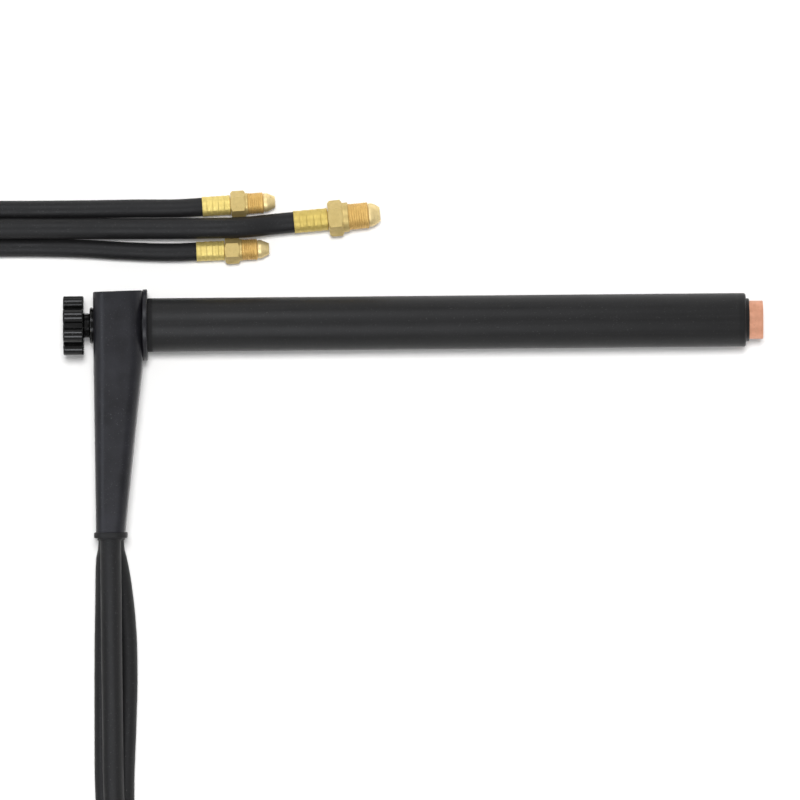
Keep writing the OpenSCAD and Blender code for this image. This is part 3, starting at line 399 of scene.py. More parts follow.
def hose_route(name):
    """One hose from inside the handle's grommet to the inside of its ferrule."""
    hose, k = HOSES[name], list(HOSES).index(name)
    x, z = hose["at"]
    d = 2 * hose["r"]
    coil = wound((COIL_SIDE, 0.0, -COIL_SIDE)[k], (0.0, COIL_RISE, 0.0)[k])
    coil = np.concatenate([coil[:1] + d * unit(coil[0] - coil[1]), coil,
                           coil[-1:] + d * unit(coil[-1] - coil[-2])])
    first = np.array([[x, EXIT_Y + ROUTE_START, z], [x, EXIT_Y, z], [x, EXIT_Y - 3, z]])
    last = np.array(LAST_POINTS[name]) + [0, 0, TABLE]
    tip = at_end(np.array([[-d, 0, 0], [0, 0, 0], [hose["ferrule"] - FERRULE_LAP, 0, 0]]), hose)
    return along_spline(np.concatenate([first, row_points(LEAD_ROWS, k), coil, row_points(TAIL_ROWS, k),
                                        last, tip]), HOSE_SPACING)


# Materials

class Tree:
    """Short ways to add nodes to a tree."""

    def __init__(self, tree):
        self.nodes, self.links = tree.nodes, tree.links

    def put(self, socket, value):
        if isinstance(value, bpy.types.NodeSocket):
            self.links.new(value, socket)
        else:
            socket.default_value = value

    def node(self, kind, values, **settings):
        """A node with its settings, then its sockets' values by name or number; gives its outputs."""
        node = self.nodes.new("ShaderNode" + kind)
        for key, value in settings.items():
            setattr(node, key, value)
        for key, value in values.items():
            self.put(node.inputs[key], value)
        return node.outputs

    def math(self, kind, *values):
        return self.node("Math", dict(enumerate(values)), operation=kind)[0]

    def times(self, a, b):
        return self.math("MULTIPLY", a, b)

    def plus(self, a, b):
        return self.math("ADD", a, b)

    def noise(self, vector, scale, detail, rough, distort=0.0):
        return self.node("TexNoise", {"Vector": vector, "Scale": scale, "Detail": detail, "Roughness": rough,
                                      "Distortion": distort})["Fac"]

    def spread(self, value, low, high, to_low=0.0, to_high=1.0):
        return self.node("MapRange", {"Value": value, "From Min": low, "From Max": high,
                                      "To Min": to_low, "To Max": to_high})["Result"]

    def stretch(self, vector, scale):
        return self.node("VectorMath", {0: vector, 1: scale}, operation="MULTIPLY")[0]

    def parts(self, vector):
        return self.node("SeparateXYZ", {0: vector})

    def join(self, x, y, z):
        return self.node("CombineXYZ", {0: x, 1: y, 2: z})[0]

    def mix(self, factor, a, b):
        return self.node("Mix", {"Factor": factor, "A": a, "B": b}, data_type="RGBA")["Result"]

    def place(self, tree, **values):
        return self.node("Group", {label.replace("_", " "): v for label, v in values.items()}, node_tree=tree)


def group(name, inputs, outputs):
    """A new node group with named inputs, numbers or vectors by their defaults, and number outputs.
    Gives the group, its nodes, the sockets of its inputs and those that take its outputs."""
    tree = bpy.data.node_groups.new(name, "ShaderNodeTree")
    for label, default in inputs.items():
        kind = "NodeSocketVector" if isinstance(default, tuple) else "NodeSocketFloat"
        tree.interface.new_socket(name=label, in_out="INPUT", socket_type=kind).default_value = default
    for label in outputs:
        tree.interface.new_socket(name=label, in_out="OUTPUT", socket_type="NodeSocketFloat")
    given, asked = tree.nodes.new("NodeGroupInput"), tree.nodes.new("NodeGroupOutput")
    return tree, Tree(tree), given.outputs, asked.inputs


def mottle_group():
    """Soft clouds and a fine grain: two noises of the place on the piece."""
    inputs = {"Vector": ORIGIN, "Cloud Scale": 60.0, "Grain Scale": 900.0}
    tree, t, given, asked = group("Mottle and Grain", inputs, ("Cloud", "Grain"))
    cloud = t.noise(given["Vector"], given["Cloud Scale"], 4.0, 0.6)
    t.put(asked["Cloud"], t.spread(cloud, 0.32, 0.68))
    t.put(asked["Grain"], t.noise(given["Vector"], given["Grain Scale"], 2.0, 0.5))
    return tree


def streak_group():
    """Lines drawn along a piece: a noise squeezed across the stretch direction."""
    inputs = {"Vector": ORIGIN, "Stretch": (20.0, 700.0, 700.0)}
    tree, t, given, asked = group("Drawn Streaks", inputs, ("Streak",))
    stretched = t.stretch(given["Vector"], given["Stretch"])
    t.put(asked["Streak"], t.spread(t.noise(stretched, 1.0, 3.0, 0.6), 0.3, 0.7))
    return tree


def turning_group():
    """Fine rings left by a cutting tool: noise of the UV map's length along the piece, in mm."""
    tree, t, given, asked = group("Turning Rings", {"Along": 0.0, "Rings per mm": 4.0}, ("Ring", "Wide Ring"))
    near = t.times(given["Along"], given["Rings per mm"])
    wide = t.join(t.times(near, 0.18), 3.0, 0.0)
    t.put(asked["Ring"], t.spread(t.noise(t.join(near, 0.0, 0.0), 1.0, 2.0, 0.7), 0.3, 0.7))
    t.put(asked["Wide Ring"], t.spread(t.noise(wide, 1.0, 2.0, 0.6), 0.3, 0.7))
    return tree


def wear_group():
    """Handling marks: faint smears where a broad noise is high, specks where a fine one is."""
    tree, t, given, asked = group("Handling Marks", {"Vector": ORIGIN, "Amount": 0.5}, ("Smear", "Speck"))
    broad = t.noise(given["Vector"], 38.0, 5.0, 0.65, 0.4)
    fine = t.noise(given["Vector"], 1400.0, 1.0, 0.5)
    t.put(asked["Smear"], t.times(t.spread(broad, 0.5, 0.72), given["Amount"]))
    t.put(asked["Speck"], t.times(t.spread(fine, 0.68, 0.76), given["Amount"]))
    return tree


def weave_group():
    """Plain weave: the product of two waves of the UV map, in mm along and share across."""
    tree, t, given, asked = group("Plain Weave", {"Along": 0.0, "Across": 0.0}, ("Thread",))
    warp = t.math("SINE", t.times(given["Across"], 150.0))
    weft = t.math("SINE", t.times(given["Along"], 4.2))
    t.put(asked["Thread"], t.spread(t.times(warp, weft), -1.0, 1.0))
    return tree


class Finish:
    """A Principled material under construction, with its place coordinates and UV numbers at hand."""

    def __init__(self, name, groups, **fixed):
        self.material = bpy.data.materials.new(name)
        self.material.use_nodes = True
        self.t, self.groups = Tree(self.material.node_tree), groups
        self.shader = self.t.nodes["Principled BSDF"].inputs
        for label, value in fixed.items():
            self.shader[label.replace("_", " ")].default_value = value
        coords = self.t.node("TexCoord", {})
        self.place, self.uv = coords["Object"], self.t.parts(coords["UV"])

    def mottle(self, cloud, grain):
        return self.t.place(self.groups["mottle"], Vector=self.place, Cloud_Scale=cloud, Grain_Scale=grain)

    def marks(self, amount):
        return self.t.place(self.groups["wear"], Vector=self.place, Amount=amount)

    def touch(self, mask, share, under, over):
        """The lower colour, with a share of the upper one where the mask is full."""
        return self.t.mix(self.t.times(mask, share), under, over)

    def colour(self, value):
        self.t.put(self.shader["Base Color"], value)

    def rough(self, value):
        self.t.put(self.shader["Roughness"], value)

    def bump(self, height, distance, strength):
        values = {"Strength": strength, "Distance": distance, "Height": height}
        self.t.put(self.shader["Normal"], self.t.node("Bump", values)["Normal"])
        return self.material


def rgb(colour, k=1.0):
    """A colour times k, with full alpha."""
    return (colour[0] * k, colour[1] * k, colour[2] * k, 1.0)


def barrel_finish(groups, colour):
    """Wound insulating tube, ground along its length and lightly handled. It is darker over its last few mm
    at the front, and painted shade darkens the strip next to the collar, where it is also rougher."""
    f = Finish("Insulating Tube", groups, Specular_IOR_Level=0.22)
    t, mottle, marks = f.t, f.mottle(46.0, 1500.0), f.marks(0.5)
    streak = t.place(groups["streak"], Vector=f.place, Stretch=(9.0, 420.0, 420.0))["Streak"]
    x = t.parts(f.place)[0]
    # end is full towards the front end; root is full on the strip next to the collar, where shade is painted.
    end, root = t.spread(x, *FRONT_DARK_SPAN), t.spread(x, *COLLAR_SHADE_SPAN)
    body = t.mix(streak, rgb(colour, 0.82), rgb(colour, 1.18))
    body = f.touch(mottle["Cloud"], 0.35, body, rgb(colour, 1.45))
    body = f.touch(marks["Speck"], 0.5, body, (0.12, 0.12, 0.12, 1))
    # Painted shade on the strip by the collar and the darker front end are both mixed towards 0.6 of the
    # colour.
    f.colour(f.touch(t.math("MAXIMUM", end, root), 0.55, body, rgb(colour, 0.6)))
    rubbed = t.plus(t.spread(streak, 0.0, 1.0, 0.40, 0.50), t.times(marks["Smear"], -0.08))
    # The strip of painted shade by the collar is also rougher.
    f.rough(t.plus(rubbed, t.times(root, 0.25)))
    return f.bump(t.plus(t.times(streak, 0.6), t.times(mottle["Grain"], 0.5)), 0.00006, 0.5)


def shell_finish(groups, colour):
    """Moulded shell, satin, with soft sink clouds and rubbed smears."""
    f = Finish("Moulded Handle", groups, Specular_IOR_Level=0.3)
    t, mottle, marks = f.t, f.mottle(70.0, 1700.0), f.marks(0.8)
    bluer = (colour[0], colour[1] * 1.01, colour[2] * 1.06)
    body = t.mix(mottle["Cloud"], rgb(colour, 0.8), rgb(bluer, 1.25))
    body = f.touch(marks["Speck"], 0.5, body, (0.1, 0.1, 0.11, 1))
    f.colour(f.touch(marks["Smear"], 0.3, body, rgb(colour, 1.7)))
    f.rough(t.plus(t.spread(mottle["Cloud"], 0.0, 1.0, 0.33, 0.42), t.times(marks["Smear"], 0.1)))
    return f.bump(t.plus(t.times(mottle["Grain"], 0.35), t.times(mottle["Cloud"], 1.2)), 0.00008, 0.45)


def knob_finish(groups, colour):
    """Hard polished moulding with fine scuffs."""
    f = Finish("Polished Moulding", groups, Specular_IOR_Level=0.35)
    t, mottle, marks = f.t, f.mottle(120.0, 2600.0), f.marks(1.0)
    body = t.mix(mottle["Cloud"], rgb(colour, 0.8), rgb(colour, 1.3))
    f.colour(f.touch(marks["Speck"], 0.4, body, (0.08, 0.08, 0.08, 1)))
    f.rough(t.plus(t.spread(mottle["Cloud"], 0.0, 1.0, 0.14, 0.2), t.times(marks["Smear"], 0.1)))
    return f.bump(mottle["Grain"], 0.00001, 0.2)


def hose_finish(groups, colour):
    """Extruded hose: fine lines along it, a dull bloom and a little dust."""
    f = Finish("Extruded Hose", groups, Specular_IOR_Level=0.25)
    t, mottle, marks = f.t, f.mottle(55.0, 1300.0), f.marks(0.8)
    round_it = t.times(f.uv[1], TAU)
    along = t.join(t.times(f.uv[0], 0.02), t.math("COSINE", round_it), t.math("SINE", round_it))
    streak = t.place(groups["streak"], Vector=along, Stretch=(0.6, 7.0, 7.0))["Streak"]
    body = t.mix(streak, rgb(colour, 0.85), rgb(colour, 1.2))
    body = f.touch(mottle["Cloud"], 0.4, body, rgb(colour, 1.5))
    f.colour(f.touch(marks["Speck"], 0.5, body, (0.11, 0.11, 0.11, 1)))
    f.rough(t.spread(mottle["Cloud"], 0.0, 1.0, 0.46, 0.6))
    return f.bump(t.plus(t.times(streak, 0.8), t.times(mottle["Grain"], 0.5)), 0.00007, 0.5)


def rubber_finish(groups, colour):
    """Moulded rubber, dull and slightly uneven."""
    f = Finish("Moulded Rubber", groups, Specular_IOR_Level=0.3)
    mottle = f.mottle(150.0, 2200.0)
    f.colour(f.t.mix(mottle["Cloud"], rgb(colour, 0.8), rgb(colour, 1.3)))
    f.rough(f.t.spread(mottle["Cloud"], 0.0, 1.0, 0.5, 0.64))
    return f.bump(mottle["Grain"], 0.00006, 0.5)


def metal_finish(groups, name, colour, dark, rough, rings, tarnish):
    """Turned metal under a thin dull film: cutting rings from the UV map, clouds of tarnish, dark specks."""
    f = Finish(name, groups, Metallic=METAL_SHARE)
    t, mottle, marks = f.t, f.mottle(260.0, 3200.0), f.marks(0.8)
    turn = t.place(groups["turning"], Along=f.uv[0], Rings_per_mm=rings)
    body = f.touch(turn["Wide Ring"], 0.5, rgb(colour), rgb(colour, 1.12))
    body = f.touch(mottle["Cloud"], tarnish, body, rgb(dark))
    f.colour(f.touch(marks["Speck"], 0.6, body, rgb(dark, 0.5)))
    f.rough(t.plus(t.spread(mottle["Cloud"], 0.0, 1.0, rough, rough + 0.12), t.times(turn["Ring"], 0.08)))
    return f.bump(t.plus(t.times(turn["Ring"], 0.8), t.times(mottle["Grain"], 0.3)), 0.00003, 0.5)


def strap_finish(groups, colour):
    """Woven strap with a soft sheen."""
    f = Finish("Woven Strap", groups, Specular_IOR_Level=0.25, Sheen_Weight=0.3)
    t, mottle = f.t, f.mottle(180.0, 2600.0)
    thread = t.place(groups["weave"], Along=f.uv[0], Across=f.uv[1])["Thread"]
    body = t.mix(thread, rgb(colour, 0.7), rgb(colour, 1.5))
    f.colour(f.touch(mottle["Cloud"], 0.4, body, rgb(colour, 1.3)))
    f.rough(t.spread(mottle["Grain"], 0.2, 0.8, 0.75, 0.9))
    return f.bump(t.plus(thread, t.times(mottle["Grain"], 0.4)), 0.00025, 0.8)


def make_finishes(colours):
    """All finishes, made once from the colours of the settings."""
    groups = {"mottle": mottle_group(), "streak": streak_group(), "turning": turning_group(),
              "wear": wear_group(), "weave": weave_group()}
    FINISH["phenolic"] = barrel_finish(groups, colours.barrel)
    FINISH["handle_shell"] = shell_finish(groups, colours.handle)
    FINISH["knob_plastic"] = knob_finish(groups, colours.knob)
    FINISH["black_rubber"] = rubber_finish(groups, colours.rubber)
    FINISH["hose_rubber"] = hose_finish(groups, colours.hose)
    FINISH["strap_fabric"] = strap_finish(groups, colours.strap)
    for key, (name, setting, *rest) in METALS.items():
        FINISH[key] = metal_finish(groups, name, getattr(colours, setting), *rest)


# Settings

def number(name, text, default, **more):
    return bpy.props.FloatProperty(name=name, description=text, default=default, **more)


def length(name, text, default):
    return number(name, text, default, unit="LENGTH", precision=5)


def angle(name, text, degrees):
    return number(name, text, math.radians(degrees), subtype="ANGLE")


def tint(name, text, default):
    return bpy.props.FloatVectorProperty(name=name, description=text, default=default, subtype="COLOR",
                                         size=3, min=0, max=1)


class HolderColours(bpy.types.PropertyGroup):
    """Base colours of the finishes."""
    barrel: tint("Barrel", "Insulating tube", (0.0122, 0.0122, 0.0127))
    handle: tint("Handle", "Moulded shell", (0.0112, 0.0112, 0.0138))
    knob: tint("Knob", "Polished moulding", (0.003, 0.003, 0.003))
    hose: tint("Hose", "Extruded hose", (0.0098, 0.0098, 0.0104))
    rubber: tint("Rubber", "Ring and grommet at the handle's end", (0.0078, 0.0078, 0.0083))
    strap: tint("Strap", "Woven strap", (0.02, 0.02, 0.022))
    brass: tint("Brass", "Nuts", (0.65, 0.50, 0.20))
    nipple: tint("Nipple", "Noses of the hose ends", (0.92, 0.74, 0.37))
    thread: tint("Thread", "Threads of the hose ends", (0.76, 0.50, 0.16))
    ferrule: tint("Ferrule", "Crimped ferrules of the small hoses", (0.82, 0.66, 0.22))
    power_ferrule: tint("Power ferrule", "Crimped ferrule of the power hose", (0.67, 0.52, 0.145))
    copper: tint("Copper", "Nose", (0.74, 0.37, 0.24))
    steel: tint("Steel", "Pins and clamps", (0.55, 0.55, 0.57))


class HolderSizes(bpy.types.PropertyGroup):
    """Sizes of the detail that the solid model leaves to this file."""
    front_edge: length("Front edge", "Rounding of the barrel's front edge", 0.0015)
    collar_edge: length("Collar edge", "Rounding of the collar", 0.0006)
    seam: length("Seam", "Open gap between the handle's halves", 0.00012)
    top_edge: length("Top edge", "Rounding of the handle's top edge", 0.0008)
    top_rise: length("Top rise", "Rise of the handle's top from its rear to its front edge", 0.00075)
    knob_edge: length("Knob edge", "Rounding of the knob's rims", 0.0010)
    crimp_depth: length("Crimp depth", "Depth of the ferrules' crimps", 0.00034)
    small_pitch: length("Small pitch", "Thread pitch of the small nuts", 0.00127)
    power_pitch: length("Power pitch", "Thread pitch of the power nut", 0.00141)


class HolderStage(bpy.types.PropertyGroup):
    """Camera and light."""
    distance: length("Distance", "Camera above the barrel's axis", 8.0)
    width: length("Width", "Width of the view at the barrel's axis", 0.484)
    roll: angle("Roll", "Turn of the camera", -0.51)
    key: number("Key", "Strength of the far lamp that casts the shadow", 2.62)
    lean: angle("Lean", "Lean of the key from overhead towards the knob's upper side", 8.0)
    soft: angle("Softness", "Width of the key as the object sees it", 12.5)
    strip: number("Strips", "Power of each reflected strip above and below", 5.4, unit="POWER")
    side: number("Side", "Power of the reflected strip on the left", 4.0, unit="POWER")
    horizon: number("Horizon", "Strength of the light from round the horizon", 0.78)
    sky: number("Sky", "Strength of the even light from above", 0.4)


def size_of(setting):
    """One of the sizes in the settings, in millimetres."""
    return getattr(bpy.context.scene.holder_sizes, setting) / MM


# Operators

class HOLDER_OT_stage(bpy.types.Operator):
    """Camera straight above, white floor, one key lamp, three strips for reflections and an even sky"""
    bl_idname = "holder.stage"
    bl_label = "Stage"

    def execute(self, context):
        stage = context.scene.holder_stage
        context.scene.view_settings.view_transform = "Standard"
        data = bpy.data.cameras.new("Camera")
        data.sensor_width, data.clip_end = SENSOR, CAMERA_REACH
        data.lens = SENSOR * stage.distance / stage.width
        camera = self.link(context, "Camera", data)
        camera.location = (*CAMERA_AT, stage.distance)
        camera.rotation_euler = Euler((0, 0, stage.roll))
        context.scene.camera = camera
        self.floor(context)
        self.key(context, stage)
        for name, setting, place, target, size, colour in STRIPS:
            self.strip(context, name, getattr(stage, setting), place, target, size, colour)
        self.world(context, stage)
        return {"FINISHED"}

    @staticmethod
    def link(context, name, data):
        obj = bpy.data.objects.new(name, data)
        context.scene.collection.objects.link(obj)
        return obj

    @staticmethod
    def rays(t):
        """Rays straight from the camera, and those that a piece mirrors or lets through."""
        path = t.node("LightPath", {})
        return path["Is Camera Ray"], t.math("MAXIMUM", path["Is Glossy Ray"], path["Is Transmission Ray"])

    def floor(self, context):
        """A flat square. It glows for the rays that show it as background: camera, glossy, transmission."""
        corners = np.array([[-1, -1], [1, -1], [1, 1], [-1, 1]]) * FLOOR_REACH
        mesh = bpy.data.meshes.new("Floor")
        level = np.full((4, 1), (TABLE - FLOOR_DROP) * MM)
        mesh.from_pydata(np.concatenate([corners, level], 1).tolist(), [], [(0, 1, 2, 3)])
        self.link(context, "Floor", mesh)
        material = bpy.data.materials.new("White Floor")
        material.use_nodes = True
        t = Tree(material.node_tree)
        t.nodes.remove(t.nodes["Principled BSDF"])
        seen = t.math("MAXIMUM", *self.rays(t))
        diffuse = t.node("BsdfDiffuse", {"Color": rgb((FLOOR_GREY,) * 3)})[0]
        glow = t.node("Emission", {"Strength": t.times(seen, FLOOR_GLOW)})[0]
        t.put(t.nodes["Material Output"].inputs["Surface"], t.node("AddShader", {0: diffuse, 1: glow})[0])
        mesh.materials.append(material)

    def key(self, context, stage):
        """A far lamp, nearly overhead. Its mirror image is left to the strips."""
        data = bpy.data.lights.new("Key Lamp", "SUN")
        data.energy, data.angle, data.color = stage.key, stage.soft, KEY_COLOUR
        key = self.link(context, "Key Lamp", data)
        key.location = KEY_AT
        key.rotation_euler = (-stage.lean, 0, 0)
        key.visible_glossy = False

    def strip(self, context, name, power, place, target, size, colour):
        """A rectangle lamp that faces its target, long side across that way, seen in reflections only."""
        data = bpy.data.lights.new(name, "AREA")
        data.shape, data.size, data.size_y = "RECTANGLE", size[0], size[1]
        data.energy, data.color = power, colour
        strip = self.link(context, name, data)
        strip.location = place
        strip.rotation_euler = (Vector(target) - Vector(place)).to_track_quat("-Z", "Y").to_euler()
        strip.visible_diffuse = False

    def world(self, context, stage):
        """A bright horizon that falls to an even sky overhead. Seen directly it is a white backdrop, and
        mirrored in a piece its horizon is white too."""
        world = bpy.data.worlds.new("Even Sky")
        context.scene.world = world
        world.use_nodes = True
        t = Tree(world.node_tree)
        back = t.nodes["Background"].inputs
        back["Color"].default_value = (1, 1, 1, 1)
        up = t.parts(t.node("TexCoord", {})["Generated"])[2]
        direct, mirrored = self.rays(t)
        falling = t.spread(up, SKY_LOW, SKY_HIGH, t.math("MAXIMUM", mirrored, stage.horizon), stage.sky)
        t.put(back["Strength"], t.math("MAXIMUM", direct, falling))


class HOLDER_OT_hoses(bpy.types.Operator):
    """Three hoses from the handle through the stored coil to their ends"""
    bl_idname = "holder.hoses"
    bl_label = "Hoses"

    def execute(self, context):
        make_finishes(context.scene.holder_colours)
        for name, hose in HOSES.items():
            path = hose_route(name)
            tube = carried(path, circle(hose["r"], 24))
            skin = Skin().grid(tube, wrap_v=True).cap(tube[0]).cap(tube[-1])
            nodes = [f"{name}_hose_{part}" for part in ("lead", "coil", "tail")]
            hose.update(piece=skin.piece(f"{name}_hose", "hose_rubber", nodes, sharp=50), path=path)
            self.inside(name, hose)
        return {"FINISHED"}

    def inside(self, name, hose):
        """The stretch inside the handle: a tube with its bore, revolved about the hose's own line."""
        top, low, r, bore = STEM_Y - FIT, EXIT_Y + INSIDE_END, hose["r"], hose["bore"]
        loop = turned_loop([(top, bore), (top, r), (low, r), (low, bore)], [0.2, 0.3, 0.2, 0.2], 32, 3)
        points = down_handle(loop, hose["at"])
        closed_piece(points, f"{name}_hose_in_handle", "hose_rubber", f"{name}_hose_inside")


class HOLDER_OT_straps(bpy.types.Operator):
    """Woven straps round the stored coil"""
    bl_idname = "holder.straps"
    bl_label = "Coil Straps"

    def execute(self, context):
        w, t = STRAP_W / 2, STRAP_T / 2
        band = finely(rounded_loop([(-w, -t), (w, -t), (w, t), (-w, t)], [0.4] * 4, 4), 4.0, 8)
        skin = Skin()
        for turn in STRAP_TURNS:
            c, s = math.cos(math.radians(turn)), math.sin(math.radians(turn))
            line, out = drawn_round(*self.held(c, s), 180)
            flat = line[:, None] + out[:, None] * band[None, :, 1:]
            across = np.broadcast_to(band[None, :, 0], flat.shape[:2])
            points = np.stack([COIL_AT[0] + flat[..., 0] * c - across * s,
                               COIL_AT[1] + flat[..., 0] * s + across * c, TABLE + flat[..., 1]], -1)
            skin.grid(points, True, True)
        ties = skin.piece("woven_straps", "strap_fabric", ["coil_straps"], sharp=60)
        for hose in HOSES.values():
            hose["ties"] = ties
        return {"FINISHED"}

    def held(self, c, s):
        """Hose sections under a strap that points along (c, s): their middles, and the radius of the strap's
        middle line round each."""
        middles, radii = [], []
        for hose in HOSES.values():
            steps = np.arange(len(hose["path"]))
            fine = np.arange(0, len(steps) - 1, 0.2)
            x, y, z = (np.interp(fine, steps, hose["path"][:, k]) for k in range(3))
            x, y = x - COIL_AT[0], y - COIL_AT[1]
            along, across = x * c + y * s, y * c - x * s
            under = (np.abs(across) < STRAP_W / 2 + 1) & (along > 0) & (along < COIL_OUTER + COIL_SIDE)
            middles.append(np.stack([along, z - TABLE], -1)[under])
            radii.append(np.full(under.sum(), hose["r"] + STRAP_EASE + STRAP_T / 2))
        return np.concatenate(middles), np.concatenate(radii)


class HOLDER_OT_hose_ends(bpy.types.Operator):
    """Crimped ferrules, nipples and threaded swivel nuts"""
    bl_idname = "holder.hose_ends"
    bl_label = "Hose Ends"

    def execute(self, context):
        for name, hose in HOSES.items():
            pieces = [make(name, hose) for make in (self.ferrule, self.nipple, self.nut)] + [hose["ties"]]
        return {"FINISHED"}

    def ferrule(self, name, hose):
        """r = R - depth * ring(s) * jaw(a): rings of crimps, pressed by jaws that leave thin ridges."""
        n, long, neck = 96, hose["ferrule"], hose["neck"] + FIT
        outer, bore = hose["r"] + FERRULE_T, hose["r"] + FERRULE_EASE
        s = np.linspace(0.9, long - 0.9, 90)
        a = np.arange(n) * TAU / n
        centres = np.linspace(0.22, 0.84, 4) * long
        ring = np.exp(-((s[:, None] - centres) ** 6)).sum(1)
        jaw = 1 - 0.6 * np.clip(np.abs(np.cos(3 * a)) - 0.9, 0, 1) / 0.1
        crimped = outer - size_of("crimp_depth") * ring[:, None] * jaw
        back = long - FERRULE_LAP
        rows = [(-FIT, bore), (-FIT, outer - 0.15), (0.1, outer + 0.12), (0.55, outer + 0.12), (0.85, outer),
                (s, crimped), (long - 0.35, outer), (long, outer - 0.4), (long, neck), (back, neck),
                (back, bore)]
        node, finish = f"{name}_ferrule", "ferrule_brass"
        if name == "power":
            node, finish = "power_ferrule_sleeve", "power_ferrule_brass"
        return closed_piece(at_end(turned_rows(rows, n), hose), f"{name}_ferrule_crimped", finish, node,
                            slot="ferrule_brass", sharp=34)

    def nipple(self, name, hose):
        """Revolved neck and nose. The power nose falls by a quarter wave, r = R (0.62 + 0.38 cos), the small
        ones in a straight line, r = R (0.995 - 0.35 t)."""
        root, neck, bore = hose["ferrule"] - FERRULE_LAP, hose["neck"], NIPPLE_BORE
        head = hose["ferrule"] + NUT_LEN + hose["shoulder"] + hose["thread"] + 0.4
        head_r, tip = hose["thread_r"] - 0.8, head + NOSE_LEN
        t = np.linspace(0, 1, 14)
        if name == "power":
            plain, nose_x, nose_r = 0.8, 0.12 + 0.83 * t, head_r * (0.62 + 0.38 * np.cos(t * math.pi / 2))
        else:
            plain, nose_x, nose_r = 2.0, 0.34 + 0.6 * t, head_r * (0.995 - 0.35 * t)
        rows = [(root, bore), (root, neck), (head, neck), (head, head_r - 0.35), (head + 0.25, head_r - 0.1),
                (head + 0.5, head_r), (head + plain, head_r), (head + NOSE_LEN * nose_x, nose_r),
                (tip, nose_r[-1] - 0.35), (tip, bore + 0.6), (tip - 0.5, bore), (root, bore)]
        return closed_piece(at_end(turned_rows(rows, 64), hose), f"{name}_nipple_turned", "nose_brass",
                            f"{name}_nipple", slot="brass", sharp=34)

    def nut(self, name, hose):
        """Hexagon r(a) = flats / 2 / cos(a mod 60 - 30), cut by a cone at both ends, then a shoulder and
        a thread of its own finish."""
        n, half, bore, thread_r = 120, hose["flats"] / 2, hose["neck"] + 0.08, hose["thread_r"]
        a = np.arange(n) * TAU / n
        flat = half / np.cos((a % (TAU / 6)) - TAU / 12)
        start = hose["ferrule"] + NUT_GAP
        end = start + NUT_LEN
        edge = end + hose["shoulder"]
        front, face = edge + hose["thread"], half - 0.6
        rear, fore = np.linspace(0, 1.3, 9), np.linspace(0.1, 0.9, 7)
        rear_cone = np.minimum(flat, half - 0.05 + 1.1 * rear[:, None])
        fore_cone = np.minimum(flat, half + 1.0 - 1.1 * fore[:, None])
        pitch = size_of("power_pitch" if name == "power" else "small_pitch")
        tx, tr = thread_rows(edge + 0.3, front - 0.7, thread_r, pitch, 0.32, n)
        rows = [(start, bore), (start + rear, rear_cone), (end - 0.9, flat), (end - 0.9 + fore, fore_cone),
                (end, face + 0.1), (end + 0.05, face), (edge - 0.35, face), (edge, face - 0.35),
                (edge + 0.02, thread_r - 0.3), (edge + 0.2, thread_r), (tx, tr), (front - 0.6, thread_r),
                (front, thread_r - 0.6), (front, bore), (start, bore)]
        piece = closed_piece(at_end(turned_rows(rows, n), hose), f"{name}_nut_cut", "brass", f"{name}_nut",
                             body=f"{name}_nut_body", sharp=30)
        piece.data.materials.append(FINISH["thread_brass"])
        faces = piece.data.polygons
        centres = np.zeros(len(faces) * 3)
        faces.foreach_get("center", centres)
        reach = (centres.reshape(-1, 3)[:, :2] - np.array(hose["end"]) * MM) @ np.array(way_of(hose))
        faces.foreach_set("material_index", (reach > (edge + 0.1) * MM).astype(np.int32))
        return piece


class HOLDER_OT_barrel(bpy.types.Operator):
    """Insulating sleeve with a rounded front edge, and the collar behind it"""
    bl_idname = "holder.barrel"
    bl_label = "Barrel"

    def execute(self, context):
        sleeve = turned_loop([(-SPIGOT_LEN, BARREL_BORE_R), (-SPIGOT_LEN, SPIGOT_R), (0.02, SPIGOT_R),
                              (0.02, BARREL_R), (BARREL_LEN, BARREL_R), (BARREL_LEN, BARREL_BORE_R)],
                             [0.2, 0.4, 0.05, 0.3, size_of("front_edge"), 0.4], 160, 8)
        closed_piece(sleeve, "barrel_tube", "phenolic", "barrel_sleeve")
        bore, edge = SPIGOT_R + FIT, size_of("collar_edge")
        collar = turned_loop([(-COLLAR_T, bore), (-COLLAR_T, COLLAR_R), (0, COLLAR_R), (0, bore)],
                             [0.1, edge, edge, 0.1], 160, 6)
        closed_piece(collar, "collar_flange", "handle_shell", "front_collar", slot="phenolic")
        return {"FINISHED"}


